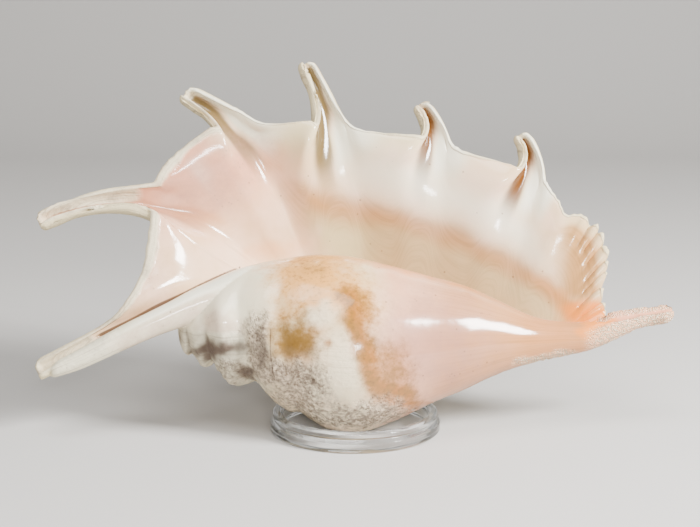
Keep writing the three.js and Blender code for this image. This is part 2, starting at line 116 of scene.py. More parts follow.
FINGERS = [
    finger((-118, -2), 205, 42, 15, 10, 130, -25, 0, -0.05, 100, front=True),
    finger((-103, 69), 178, 58, 17, 10, 135, -25, 26, -0.05, 48),
    finger((-68, 113), 141, 27, 16, 10, 125, -25, 5, -0.05, 58),
    finger((-17, 113), 104, 37, 19, 9, 140, -35, 6, -0.1, 40),
    finger((38, 107), 88, 20, 15, 9, 135, -35, 40, -0.1, 34),
    finger((87, 90), 74, 20, 15, 8, 135, -35, 50, -0.1, 42),
]

# How far the margin between neighbouring fingers sags inwards
SAG = [6, -5, 1, 1.5, 1.5]

# Front end of the margin of the lip (x, h), with the crimped part
MARGIN = [
    (106, 74), (108, 66.5), (116, 66), (124.6, 57), (127.8, 45), (126.5, 34), (124.5, 24), (127, 14),
    (121, 6),
]

# Ribs of the lip: finger number, x, h and m where it leaves the body, slope there, m and slope at the margin
RIBS = [
    (0.5, -46, 30, -8, 0.2, 12, 0.1), (1, -42, 30, -16, 0.2, 11, 0.05), (2, -32, 28, -40, 0.3, 8, 0.05),
    (3, -20, 27, -51, 0.35, 4, 0.05), (4, 0, 26, -55.5, 0.35, 0, 0.08), (5, 30, 22, -44.5, 0.35, -3, 0.08),
    (6, 64, 15, -29, 0.35, -3, 0.08), (7, 88, 9, -16, 0.3, -2, 0.05), (8, 110, 3, -7, 0.15, -4, 0),
]

# Distance in mm over which the ribs fan out towards a fingertip
REACH = 90.0

# How far the lip dives into the body behind its root, as a share of its depth there, and how much it bends
LIP_ROOT_REACH = 0.42
LIP_ROOT_CURVE = 0.8

# Soft limit of the strip that is rolled into a finger
SOFT_POWER = 5.0
SOFT_EDGE = 2 ** (-1 / SOFT_POWER)
POCKET_DEPTH = 4.0

# Distances in mm from the margin at which the lip has rows of points for its rounded rim
RIM_ROWS = [4.5, 3.0, 1.9, 1.1, 0.5, 0.15, 0.0]
RIM_ROUNDING = 2.2

# The foot of the shell over the ring, in mm: radius where it dips into the ring, its slope and the gaps left
SEAT_RADIUS = 31.8
SEAT_SLOPE = 1.25
SEAT_GAP = 0.5
GROUND_GAP = 1.6
SEAT_REACH = 45.0
SEAT_HEIGHT_REACH = 6.0

# Steps along and round each part of the shell, in full detail
BODY_STEPS = (230, 156)
FOLD_STEPS = (90, 40)
LIP_STEPS = (500, 40)

# Part numbers, and the columns of the fields that every vertex carries between its part and its side. On the
# body and on the fold the first two hold x and the angle round it, and the rest stay empty.
BODY_PART, FOLD_PART, LIP_PART = 0, 1, 2
LIP_FIELDS = ("run", "s", "edge", "number", "gutter", "beyond", "across")
FIELD_COUNT = len(LIP_FIELDS) + 2

# How many rings of vertices are softened beside a seam in front, and how far that spreads at the back
SEAM_RINGS = 4
REAR_SPREAD = 3
SEAM_PASSES = 4
REAR_PASSES = 24

# Marks on the shell are placed as seen from the front, in 700ths of the view's width across and down.
# Beige band of the lip, and the middle and upper edge of the fold:
BAND_LINE = [(290, 186), (345, 198), (400, 210), (465, 234), (527, 268), (575, 306), (610, 330)]
FOLD_LINE = [(54, 362), (97, 337), (158, 306), (206, 283), (250, 265)]
# the painted shade line of the crevice runs along this upper edge of the fold
FOLD_EDGE = [
    (70, 349), (97, 336.5), (134, 318.5), (158, 305.5), (182, 294.5), (206, 282.5), (230, 271.8),
    (250, 264.5),
]

# Rusty streak of the body, the left edge of it (down, across), and the peach line along the crest:
RUSTY_STREAK = [(350, 300), (354, 322), (362, 342), (370, 365), (376, 385), (388, 397), (408, 398)]
STREAK_LEFT = [(300, 340), (322, 344), (342, 350), (365, 358), (385, 364), (400, 374)]
CREST_LINE = [(300, 252), (350, 256), (430, 272), (500, 292), (560, 314)]

# Fine cracks, the ochre arch beside them and the crusty keel of the canal:
BODY_CRACK = [(271, 328), (270, 352), (274, 379)]
ARCH_CRACK = [(299, 304), (306, 300), (318, 301), (333, 303)]
OCHRE_ARCH = [(303, 304), (320, 297), (338, 303)]
CANAL_KEEL = [(520, 362), (560, 357), (590, 350), (612, 338)]

# Masks that keep their crisp outline
CRISP_MASKS = ("crack_and_crevice_shade", "pit")

# Fixed start of Blender's own noise, which otherwise begins at the time of day
WANDER_SEED = 2


def srgb(code):
    """Scene-linear colour of a hex code such as #e9c9bb."""
    parts = [int(code[i:i + 2], 16) / 255 for i in (1, 3, 5)]
    return tuple(p / 12.92 if p <= 0.04045 else ((p + 0.055) / 1.055) ** 2.4 for p in parts)


def ease(a, b, value):
    """0 at a and before it, 1 at b and beyond, smooth between."""
    t = np.clip((np.asarray(value, float) - a) / (b - a), 0, 1)
    return t * t * (3 - 2 * t)


def bell(value, middle, width):
    """1 at the middle, falling off smoothly to both sides."""
    return np.exp(-(((value - middle) / width) ** 2))


def along_stations(stations, x):
    """Smooth curve through stations (x, y, ...), evaluated at x."""
    table = np.asarray(stations, float)
    knots = table[:, 0]
    values = table[:, 1] if table.shape[1] == 2 else table[:, 1:]
    slopes = np.gradient(values, knots, axis=0)
    x = np.clip(np.asarray(x, float), knots[0], knots[-1])
    i = np.clip(np.searchsorted(knots, x, side="right") - 1, 0, len(knots) - 2)
    step = knots[i + 1] - knots[i]
    t = (x - knots[i]) / step
    if values.ndim > 1:
        step = step[..., None]
        t = t[..., None]
    start = (2 * t**3 - 3 * t**2 + 1) * values[i] + (t**3 - 2 * t**2 + t) * step * slopes[i]
    return start + (3 * t**2 - 2 * t**3) * values[i + 1] + (t**3 - t**2) * step * slopes[i + 1]


def level_on(line, place):
    """Height of a bent line (place, height) at each place."""
    places, heights = zip(*line)
    return np.interp(place, places, heights)


def spire_phase(x, turn):
    """Whorls counted from the shoulder, so that shoulders and sutures repeat with every whole number."""
    run = np.maximum((x - SPIRE_POLE_X) / (SPIRE_START_X - SPIRE_POLE_X), 0.02)
    return np.log(run) / math.log(SPIRE_RATIO) + (turn - 180) / 360


def body_points(x, turn_deg, sizes):
    """Points (x, h, m) of the body; turn 0 faces the lip, 90 the front, 180 down and 270 the back."""
    turn = np.mod(turn_deg + 40, 360) - 40
    climb = SPIRE_RATIO ** (-((turn - 180) / 360) * ease(10, -50, x) * ease(20, 90, turn))
    under = along_stations(UNDERSIDE, SPIRE_POLE_X + (x - SPIRE_POLE_X) / climb) * climb
    crest = along_stations(CREST, x)
    r = crest + (under - crest) * ease(20, 180, turn)
    # fuller back, a dent under the front, a flatter front and the knob of glaze beside the spire
    r = r * (1 + 0.16 * ease(225, 300, turn) * ease(-60, -20, x) * ease(125, 60, x))
    r = r * (1 - 0.045 * bell(turn, 212, 16) * ease(-60, -20, x))
    r = r * (1 - 0.07 * bell(turn, 95, 45))
    r = r + sizes.callus_height * bell(x, -66, 9) * bell(turn, 98, 24)
    # three rows of knobs on the back
    back = ease(232, 252, turn) * ease(338, 316, turn)

    def knobs(pitch, middle):
        return (0.5 + 0.5 * np.cos(2 * np.pi * (turn - middle) / pitch)) ** 2

    r = r + back * sizes.knob_height * bell(x, -24, 10) * knobs(38, 266)
    r = r + back * 2.2 * bell(x, 8, 7) * (0.4 + 0.6 * knobs(26, 262))
    r = r + back * 1.6 * bell(x, 38, 7) * (0.4 + 0.6 * knobs(26, 270))
    # blunt beads on the shoulders of the spire, and a thin groove at each suture
    phase = spire_phase(x, turn)
    whorl = np.mod(phase, 1.0)
    spire = ease(-40, -52, x) * ease(-88, -84, x) * ease(108, 135, turn)
    beads = 0.5 + 0.5 * np.cos(2 * np.pi * turn / 27.0 + 2.2 * phase)
    r = r * (1 + 0.05 * spire * beads * bell(whorl, 0.26, 0.15) - 0.035 * spire * bell(whorl, 0.69, 0.035))
    # round channel of the opening beside the crest
    channel = (0.4 * crest + 2.2) * ease(-75, -35, x) + 0.01
    distance = 0.88 * crest + 1
    facing = TROUGH_DEG + (CANAL_TROUGH_DEG - TROUGH_DEG) * ease(108, 132, x)
    off = np.radians(np.mod(turn_deg - facing + 540, 360) - 180)
    inside = channel**2 - (distance * np.sin(off)) ** 2
    near = distance * np.cos(off) - np.sqrt(np.maximum(inside, 0))
    near = np.where((inside > 0) & (np.abs(off) < np.pi / 2), near, 1000.0)
    blend = 0.1 * crest + 0.3
    w = np.clip(0.5 + 0.5 * (near - r) / blend, 0, 1)
    r = near * (1 - w) + r * w - blend * w * (1 - w)
    r = np.maximum(r, 0.16 * crest)
    # rounded, slightly three-cornered end of the canal
    corners = 1 + 0.07 * ease(146, 158, x) * np.sin(3 * np.radians(turn))
    r = r * np.sqrt(1 - 0.75 * ease(CANAL_TIP_X - 4, CANAL_TIP_X, x)) * corners
    phi = np.radians(turn_deg)
    height = along_stations(CENTRE_LINE, x) + r * np.cos(phi)
    return np.stack(np.broadcast_arrays(x, height, r * np.sin(phi)), -1)


def fold_points(steps, sectors):
    """Rings (x, h, m) along the thick fold of glaze."""
    t = np.linspace(0, len(FOLD) - 1, steps)
    table = np.column_stack([np.arange(len(FOLD)), np.array(FOLD, float)])
    x, h, m, radius = along_stations(table, t).T
    ends = np.sqrt(np.clip(1 - ((np.abs(2 * t / (len(FOLD) - 1) - 1) - 0.95) / 0.05).clip(0) ** 2, 0.05, 1))
    phi = np.linspace(0, 2 * np.pi, sectors, endpoint=False)
    radius = (radius * ends)[:, None]
    rings = [x[:, None] + 0 * phi, h[:, None] + radius * np.cos(phi), m[:, None] + radius * np.sin(phi)]
    return np.stack(rings, -1)


def half_width(item, a):
    """Half width of a finger's rolled strip at distance a from its base."""
    t = np.clip(a / item["length"], 0, 1)
    width = item["base_half"] + (item["tip_half"] - item["base_half"]) * t**0.8
    tip = np.clip((a - (item["length"] - 3)) / 3.2, 0, 1)
    return width * np.sqrt(np.maximum(1 - tip**2, 0.25))


def margin_outline():
    """Margin of the lip in plan: point, finger number, knee of the column, end of the sheet, crimp run."""
    rows = []
    gaps = [np.linalg.norm(b["base"] - a["base"]) for a, b in zip(FINGERS, FINGERS[1:])]

    def spot(item, a, b):
        return item["base"] + item["along"] * a + item["across"] * b

    for i, item in enumerate(FINGERS):
        left = 0.9 * item["base_half"] / gaps[max(i - 1, 0)]
        right = 0.9 * item["base_half"] / gaps[min(i, len(gaps) - 1)]

        def add(a, b, side):
            up = max(a, 0.0)
            spread = 1 - 0.45 * min(up / item["length"], 1.0)
            point = spot(item, a, b)
            knee = point
            if a > 0:
                knee = spot(item, 0, b / half_width(item, up) * item["base_half"] * spread)
            sheet = spot(item, 0, -item["base_half"]) if a < 0 else knee
            number = i + 1 + side * b * REACH / (REACH + up) / item["base_half"]
            rows.append((*point, number, *knee, *sheet, -1.0))

        if item["front"]:
            for a in np.linspace(-90, -3, 30):
                add(a, -item["base_half"], left)
        for a in np.linspace(0, item["length"], 30):
            add(a, -half_width(item, a), left)
        for t in np.linspace(-0.8, 0.8, 9):
            add(item["length"], t * half_width(item, item["length"]), left if t < 0 else right)
        for a in np.linspace(item["length"], 0, 30):
            add(a, half_width(item, a), right)
        if i < len(SAG):
            p = spot(item, 0, item["base_half"])
            q = spot(FINGERS[i + 1], 0, -FINGERS[i + 1]["base_half"])
            middle = (p + q) / 2
            from_centre = middle - np.array([0.0, 20.0])
            pull = middle - 2 * SAG[i] * from_centre / np.linalg.norm(from_centre)
            start = i + 1 + right
            end = i + 2 - 0.9 * FINGERS[i + 1]["base_half"] / gaps[i]
            for t in np.linspace(0, 1, 26)[1:-1]:
                point = (1 - t) ** 2 * p + 2 * t * (1 - t) * pull + t * t * q
                rows.append((*point, start + (end - start) * t, *point, *point, -1.0))
    table = np.column_stack([np.arange(len(MARGIN)), np.array(MARGIN, float)])
    fine = along_stations(table, np.linspace(0, len(MARGIN) - 1, 220))
    last = np.array(rows[-1])
    runs = np.cumsum(np.linalg.norm(np.diff(np.vstack([last[:2], fine]), axis=0), axis=1))
    for point, run in zip(fine, runs):
        rows.append((*point, last[2] + (8 - last[2]) * run / runs[-1], *point, *point, run))
    return np.array(rows)


def roll_up(item, flat, height, points):
    """Rolls the sheet of the lip up into the gutter of one finger.

    Also returns how deep in the gutter each point lies, how far past the finger's root, and where across the
    finger, from -1 on the near side to 1 on the far side.
    """
    offset = flat - item["base"]
    a = offset @ item["along"]
    b = offset @ item["across"]
    inner = np.minimum(a, 0)
    run = np.maximum(a, 0)
    half = np.where(
        a > 0,
        half_width(item, np.minimum(run, item["length"] - 0.5)),
        item["base_half"] * (1 - 0.35 * ease(0, -item["groove"], a)),
    )
    q = b / half
    full = item["curl"] / SOFT_EDGE
    curl = np.maximum(full * ease(-item["groove"], 14, a), 0.02)
    if item["front"]:
        curl = np.where(b < 0, full, curl)
    r = half / curl
    strip = half * q / (1 + np.abs(q) ** SOFT_POWER) ** (1 / SOFT_POWER)
    angle = curl * strip / half
    roll = item["roll"] * ease(-item["groove"] * 0.8, item["length"] * 0.35, a)
    side = r * np.sin(angle + roll) - r * np.sin(roll) + b - strip
    rise = r * (1 - np.cos(angle + roll)) - r * (1 - np.cos(roll))
    depth = r * (1 - np.cos(curl * SOFT_EDGE))
    if item["front"]:
        depth = depth * ease(-20, 10, a)
    turn = item["start"] + item["bend"] * run
    if item["bend"] > 1e-6:
        across = (np.sin(turn) - math.sin(item["start"])) / item["bend"]
        up = (math.cos(item["start"]) - np.cos(turn)) / item["bend"]
    else:
        across = run * item["along"][0]
        up = run * item["along"][1]
    target = np.stack([
        item["base"][0] + across + inner * item["along"][0] + np.sin(turn) * side,
        item["base"][1] + up + inner * item["along"][1] - np.cos(turn) * side,
        height - 0.85 * depth + rise + item["lift"] * run**2 / item["length"],
    ], -1)
    share = ease(2.3, 1, np.abs(q))
    if item["front"]:
        share = np.where(b < 0, ease(2.3, 1.3, np.abs(q)) * ease(-102, -86, a), share)
    share = share * (1 - ease(0, 14, a) * ease(1, 1.5, np.abs(q)))
    if not item["front"]:
        pocket = bell(q, -0.12, 0.3) * ease(-26, -8, a) * ease(16, 2, a)
        target[..., 2] -= POCKET_DEPTH * pocket
    gutter = bell(q, 0, 0.62) * ease(-item["groove"] * 0.85, item["length"] * 0.2, a) * (np.abs(q) < 2)
    points = points * (1 - share[..., None]) + target * share[..., None]
    return points, gutter, np.where(np.abs(q) < 1.6, a, -999.0), q


def lip_columns(count, inner_rows, sizes):
    """Middle surface of the lip as columns of points, with the fields that its looks are made from."""
    outline = margin_outline()
    runs = np.concatenate([[0], np.cumsum(np.linalg.norm(np.diff(outline[:, :2], axis=0), axis=1))])
    crowding = np.where(outline[1:, 7] > 0, 2.6, 1.0)
    travel = np.concatenate([[0], np.cumsum(np.diff(runs) * crowding)])
    s = np.interp(np.linspace(0, travel[-1], count), travel, runs)
    table = np.column_stack([np.interp(s, runs, outline[:, k]) for k in range(outline.shape[1])])
    end, number, knee, sheet, crimp = table[:, :2], table[:, 2], table[:, 3:5], table[:, 5:7], table[:, 7]
    root_x, root_h, m0, slope0, m1, slope1 = along_stations(RIBS, number).T
    root = np.stack([root_x, root_h], -1)
    reach = np.linalg.norm(sheet - root, axis=1)[:, None]
    t = np.linspace(0, 1, 161)[None, :, None]
    path = (1 - t) ** 2 * root[:, None] + 2 * t * (1 - t) * knee[:, None] + t * t * end[:, None]
    steps = np.linalg.norm(np.diff(path, axis=1), axis=2)
    travelled = np.concatenate([np.zeros((count, 1)), np.cumsum(steps, axis=1)], axis=1)
    full = travelled[:, -1:]
    rim = np.array(RIM_ROWS)
    last = np.maximum(full - rim[0], full * 0.6)
    behind = np.array([1, 0.8, 0.6, 0.4, 0.2])[None, :] * LIP_ROOT_REACH * m0[:, None]
    inside = np.linspace(0, 1, inner_rows + 1)[None, :-1] * last
    outside = full - np.minimum(rim[None, :], full * 0.3 * rim[None, :] / rim[0])
    run = np.concatenate([behind, inside, outside], axis=1)
    flat = np.empty(run.shape + (2,))
    for i in range(count):
        for k in (0, 1):
            flat[i, :, k] = np.interp(run[i], travelled[i], path[i, :, k])
        start = (path[i, 2] - path[i, 0]) / travelled[i, 2]
        back = run[i] < 0
        flat[i, back] = root[i] + run[i, back, None] * start
    m0, slope0, m1, slope1 = (v[:, None] for v in (m0, slope0, m1, slope1))
    v = np.clip(run / reach, 0, 1)
    height = (2 * v**3 - 3 * v**2 + 1) * m0 + (v**3 - 2 * v**2 + v) * slope0 * reach
    height = height + (3 * v**2 - 2 * v**3) * m1 + (v**3 - v**2) * slope1 * reach
    height = height + np.maximum(run / reach - 1, 0) * reach * slope1
    height = np.where(run < 0, m0 + slope0 * run - LIP_ROOT_CURVE * run**2 / m0, height)
    edge = full - run
    # crimped front end of the margin
    wobble = crimp / sizes.crimp_pitch + 0.12 * np.sin(crimp * 0.31) + 0.08 * np.sin(crimp * 0.77 + 1.3)
    wave = np.sin(2 * np.pi * wobble)
    part = ease(6.75, 6.95, number) * ease(7.9, 7.55, number) * (crimp >= 0)
    height = height + (sizes.crimp_height * wave * part)[:, None] * np.exp(-np.maximum(edge, 0) / 13)
    # the whole sheet undulates a little, and its margin is never quite even
    sway = np.sin(s * 0.071) + 0.6 * np.sin(s * 0.163 + 1.0)
    height = height + 0.35 * sway[:, None] * np.exp(-np.maximum(edge, 0) / 22) * (number > 1.3)[:, None]
    outwards = (end - root) / np.linalg.norm(end - root, axis=1)[:, None]
    chips = 0.25 * np.sin(s * 0.9) * np.sin(s * 0.37 + 0.6) + 0.22 * np.sin(s * 1.7 + 2.0)
    ragged = (chips * (number > 1.05) + 1.3 * wave * part)[:, None] * np.exp(-np.maximum(edge, 0) / 4)
    flat = flat + ragged[..., None] * outwards[:, None, :]
    points = np.concatenate([flat, height[..., None]], axis=2)
    gutter = np.zeros(run.shape)
    beyond = np.full(run.shape, -999.0)
    across = np.full(run.shape, 9.0)
    for item in FINGERS:
        points, groove, a, q = roll_up(item, flat, height, points)
        gutter = np.maximum(gutter, groove)
        across = np.where(a > beyond, q, across)
        beyond = np.maximum(beyond, a)
    points = relaxed(points, 0.85 * ease(9, 26, edge) * ease(0, 12, run))
    taper = np.where(run < 0, 1 + 0.7 * run / (LIP_ROOT_REACH * -m0), 1.0)
    fields = dict(
        run=run, s=np.repeat(s[:, None], run.shape[1], 1), edge=edge,
        number=np.repeat(number[:, None], run.shape[1], 1), gutter=gutter, beyond=beyond, across=across,
        taper=taper,
    )
    return points, fields


def relaxed(points, share):
    """Evens out a grid of points where share is above 0."""
    for _ in range(36):
        around = points.copy()
        beside = points[2:, 1:-1] + points[:-2, 1:-1] + points[1:-1, 2:] + points[1:-1, :-2]
        around[1:-1, 1:-1] = beside / 4
        points = points + share[..., None] * (around - points)
    return points


def grid_quads(rows, columns, start=0, wrap=False, flip=False):
    """Quads of a grid of points stored row by row."""
    i, j = np.meshgrid(np.arange(rows - 1), np.arange(columns if wrap else columns - 1), indexing="ij")
    after = (j + 1) % columns
    this_row, next_row = i * columns, (i + 1) * columns
    quads = np.stack([this_row + j, this_row + after, next_row + after, next_row + j], -1)
    quads = quads.reshape(-1, 4) + start
    return quads[:, ::-1] if flip else quads


def placed(points, sizes):
    """Shell-frame points in mm, leaned back, set over the ring and kept clear of it, in metres."""
    lean = sizes.lean_back
    low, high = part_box("ring_stand")
    x = points[..., 0]
    y = points[..., 1] * math.sin(lean) - points[..., 2] * math.cos(lean)
    z = sizes.axis_height + points[..., 1] * math.cos(lean) + points[..., 2] * math.sin(lean)
    r = np.hypot(x, y)
    seat = (high[2] - low[2]) / MM + SEAT_GAP
    dip = np.maximum(GROUND_GAP, seat - (SEAT_RADIUS - r) * SEAT_SLOPE)
    floor = np.where(r > SEAT_RADIUS, seat, dip)
    lifted = np.where((r < SEAT_REACH) & (z < seat + SEAT_HEIGHT_REACH), np.maximum(z, floor), z)
    out = np.stack([x, y, lifted], -1) * MM
    return out + np.array([(low[0] + high[0]) / 2, (low[1] + high[1]) / 2, low[2]])


def new_object(name, points, faces):
    """Object with a mesh of its own, linked to the scene."""
    mesh = bpy.data.meshes.new(name)
    mesh.from_pydata([tuple(p) for p in points], [], [tuple(int(v) for v in f) for f in faces])
    mesh.validate()
    mesh.update()
    item = bpy.data.objects.new(name, mesh)
    bpy.context.scene.collection.objects.link(item)
    return item


def drop_object(item):
    """Removes an object and its mesh."""
    mesh = item.data
    bpy.data.objects.remove(item, do_unlink=True)
    if mesh.users == 0:
        bpy.data.meshes.remove(mesh)


def tube_object(name, rings, sizes):
    """Closed mesh through rings of points, its two ends capped with a fan."""
    steps, sectors = rings.shape[:2]
    points = placed(rings.reshape(-1, 3), sizes)
    points = np.vstack([points, points[:sectors].mean(0), points[-sectors:].mean(0)])
    quads = [tuple(q) for q in grid_quads(steps, sectors, wrap=True)]
    around = np.arange(sectors)
    after = (around + 1) % sectors
    first, last = steps * sectors, steps * sectors + 1
    top = (steps - 1) * sectors
    caps = [(first, b, a) for a, b in zip(around, after)]
    caps += [(last, top + a, top + b) for a, b in zip(around, after)]
    return new_object(name, points, quads + caps)


def mesh_points(mesh):
    """Places of all vertices, one row each."""
    flat = np.empty(len(mesh.vertices) * 3)
    mesh.vertices.foreach_get("co", flat)
    return flat.reshape(-1, 3)


def finely(steps, detail):
    """Steps of a part of the shell at the wanted detail."""
    return tuple(int(count * detail) for count in steps)


def tube_fields(part, x, turn):
    """Fields of a closed tube: its part number, x and the angle round it; its two end points come last."""
    fields = np.zeros((x.size + 2, FIELD_COUNT))
    fields[:, 0] = part
    fields[:-2, 1] = x.ravel()
    fields[:-2, 2] = turn.ravel()
    return fields


def shell_parts(sizes, detail):
    """Body, fold and lip as closed meshes, and the fields of each of their points."""
    stations, sectors = finely(BODY_STEPS, detail)
    u = np.linspace(0, 1, stations)
    x = APEX_X + (CANAL_TIP_X - APEX_X) * (0.66 * u + 0.34 * u**2.2)
    turn = np.linspace(0, 360, sectors, endpoint=False)
    grid = np.stack(np.broadcast_arrays(x[:, None], turn[None, :]), -1)
    rings = body_points(grid[..., 0], grid[..., 1], sizes)
    body = tube_object("shell_body", rings, sizes)
    body_fields = tube_fields(BODY_PART, grid[..., 0], grid[..., 1])
    body_fields[-2:, 1] = (APEX_X, CANAL_TIP_X)

    rings = fold_points(*finely(FOLD_STEPS, detail))[::-1]
    fold = tube_object("shell_fold", rings, sizes)
    turn = np.tile(np.linspace(0, 360, rings.shape[1], endpoint=False), rings.shape[0])
    fold_fields = tube_fields(FOLD_PART, rings[..., 0], turn)

    points, fields = lip_columns(*finely(LIP_STEPS, detail), sizes)
    lip, lip_fields = lip_object(points, fields, sizes)
    return [body, fold, lip], [body_fields, fold_fields, lip_fields]


def lip_object(points, fields, sizes):
    """Gives the middle surface of the lip its thickness and closes it all round."""
    count, rows = points.shape[:2]
    outwards = np.gradient(points, axis=1)
    across = np.gradient(points, axis=0)
    normal = np.cross(outwards, across)
    normal = normal / np.maximum(np.linalg.norm(normal, axis=2, keepdims=True), 1e-9)
    thin, thick = sizes.lip_edge / MM, sizes.lip_root / MM
    thickness = thin + (thick - thin) * ease(10, 80, fields["edge"])
    past_rim = np.clip(fields["edge"], 0, RIM_ROUNDING) / RIM_ROUNDING
    rounding = np.sqrt(np.clip(1 - (1 - past_rim) ** 2, 0.03, 1))
    offset = normal * (np.where(fields["run"] < 0, fields["taper"], rounding) * thickness * 0.5)[..., None]
    both = np.concatenate([(points + offset).reshape(-1, 3), (points - offset).reshape(-1, 3)])
    half = count * rows
    faces = [grid_quads(count, rows), grid_quads(count, rows, half, flip=True)]
    i = np.arange(count - 1) * rows
    faces.append(np.stack([i, i + rows, half + i + rows, half + i], -1))
    b = i + rows - 1
    faces.append(np.stack([b, half + b, half + b + rows, b + rows], -1))
    j = np.arange(rows - 1)
    faces.append(np.stack([j, half + j, half + j + 1, j + 1], -1))
    b = (count - 1) * rows + j
    faces.append(np.stack([b, b + 1, half + b + 1, half + b], -1))
    one = np.stack([fields[name].ravel() for name in LIP_FIELDS], -1)
    marks = np.zeros((2 * half, FIELD_COUNT))
    marks[:, 0] = LIP_PART
    marks[:, 1:-1] = np.vstack([one, one])
    marks[:half, -1] = -1
    marks[half:, -1] = 1
    return new_object("shell_lip", placed(both, sizes), np.vstack(faces)), marks


def outward(mesh):
    """Turns all faces of a closed mesh outwards."""
    mesh.calc_loop_triangles()
    corners = np.empty(len(mesh.loop_triangles) * 3, int)
    mesh.loop_triangles.foreach_get("vertices", corners)
    p = mesh_points(mesh)[corners.reshape(-1, 3)]
    if np.einsum("ij,ij->i", p[:, 0], np.cross(p[:, 1], p[:, 2])).sum() < 0:
        mesh.flip_normals()


def united(parts):
    """Joins overlapping closed meshes into one closed skin."""
    base = parts[0]
    for item in parts:
        outward(item.data)
    for other in parts[1:]:
        cut = base.modifiers.new("join", "BOOLEAN")
        cut.operation = "UNION"
        cut.solver = "MANIFOLD"
        cut.object = other
        graph = bpy.context.evaluated_depsgraph_get()
        mesh = bpy.data.meshes.new_from_object(base.evaluated_get(graph))
        base.modifiers.clear()
        old = base.data
        base.data = mesh
        bpy.data.meshes.remove(old)
        drop_object(other)
    return base


def carried_fields(mesh, parts_points, parts_fields):
    """Fields of the nearest source point for every vertex of the joined skin."""
    points = np.vstack(parts_points)
    fields = np.vstack(parts_fields)
    tree = KDTree(len(points))
    for i, p in enumerate(points):
        tree.insert(p, i)
    tree.balance()
    nearest = [tree.find(v.co)[1] for v in mesh.vertices]
    return fields[nearest]


def mesh_edges(mesh):
    """Numbers of the two vertices of every edge."""
    ends = np.empty(len(mesh.edges) * 2, int)
    mesh.edges.foreach_get("vertices", ends)
    return ends.reshape(-1, 2)


def neighbour_mean(values, edges):
    """Mean of each vertex's neighbours, for one value or one row per vertex."""
    total = np.zeros_like(values)
    number = np.zeros(len(values))
    for a, b in ((0, 1), (1, 0)):
        np.add.at(total, edges[:, a], values[edges[:, b]])
        np.add.at(number, edges[:, a], 1)
    return total / np.maximum(number, 1).reshape((-1,) + (1,) * (values.ndim - 1))


def vertex_normals(mesh):
    """Normals of all vertices, one row each."""
    flat = np.empty(len(mesh.vertices) * 3)
    mesh.vertex_normals.foreach_get("vector", flat)
    return flat.reshape(-1, 3)


def soften_seams(mesh, fields, stage):
    """Rounds the creases where body, fold and lip meet, but leaves the crevice above the fold."""
    points = mesh_points(mesh)
    edges = mesh_edges(mesh)
    part = fields[:, 0]
    reach = np.zeros(len(points))
    reach[edges[part[edges[:, 0]] != part[edges[:, 1]]].ravel()] = 1
    rear = ease(0.0, 0.3, vertex_normals(mesh)[:, 1])
    for step in range(REAR_SPREAD * SEAM_RINGS):
        spread = reach.copy()
        np.maximum.at(spread, edges[:, 0], reach[edges[:, 1]])
        np.maximum.at(spread, edges[:, 1], reach[edges[:, 0]])
        front_fade = max(1 - (step + 1) / (SEAM_RINGS + 1), 0)
        rear_fade = 1 - (step + 1) / (REAR_SPREAD * SEAM_RINGS + 1)
        reach = np.maximum(reach, spread * (front_fade + (rear_fade - front_fade) * rear))
    u, v = seen_from_front(points, stage)
    edge, number = fields[:, 3], fields[:, 4]
    thick = ease(14, 30, edge) + (part != LIP_PART) + (number < 1.6) * (u < 150)
    crevice = ease(262, 250, u) * ease(150, 165, u) * ease(250, 256, v)
    weight = (reach * np.clip(thick, 0, 1) * (1 - crevice))[:, None]
    for step in range(REAR_PASSES * SEAM_RINGS):
        share = weight if step < SEAM_PASSES * SEAM_RINGS else weight * rear[:, None]
        points = points + 0.5 * share * (neighbour_mean(points, edges) - points)
    mesh.vertices.foreach_set("co", points.ravel())
    mesh.update()
    return reach


def seen_from_front(points, stage):
    """Where points appear from the front, in 700ths of the view's width across and down."""
    low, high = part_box("ring_stand")
    eye = np.array([(low[0] + high[0]) / 2, (low[1] + high[1]) / 2, low[2]]) + np.array(stage.eye)
    tilt = stage.eye_tilt
    offset = points - eye
    deep = offset[:, 1] * math.cos(tilt) - offset[:, 2] * math.sin(tilt)
    up = offset[:, 1] * math.sin(tilt) + offset[:, 2] * math.cos(tilt)
    scale = 700 * stage.lens / 36 / deep
    return 350 + offset[:, 0] * scale, 263.5 - up * scale


def patch(u, v, across, down, wide, high, turned=0.0, soft=0.7):
    """Soft oval: 1 in the middle, 0.5 on its outline, 0 outside."""
    angle = math.radians(turned)
    p = ((u - across) * math.cos(angle) + (v - down) * math.sin(angle)) / wide
    q = (-(u - across) * math.sin(angle) + (v - down) * math.cos(angle)) / high
    return ease(1 + soft, 1 - soft, np.hypot(p, q))


def stroke(u, v, stations, width, soft=0.6):
    """Soft line through stations (across, down)."""
    table = np.column_stack([np.arange(len(stations)), np.array(stations, float)])
    line = along_stations(table, np.linspace(0, len(stations) - 1, 24 * len(stations)))
    nearest = np.full(len(u), 1e9)
    for p in line:
        nearest = np.minimum(nearest, (u - p[0]) ** 2 + (v - p[1]) ** 2)
    return ease(width * (1 + soft), width * (1 - soft), np.sqrt(nearest))


def most(*masks):
    """Largest of several masks, kept between 0 and 1."""
    return np.clip(np.maximum.reduce(masks), 0, 1)


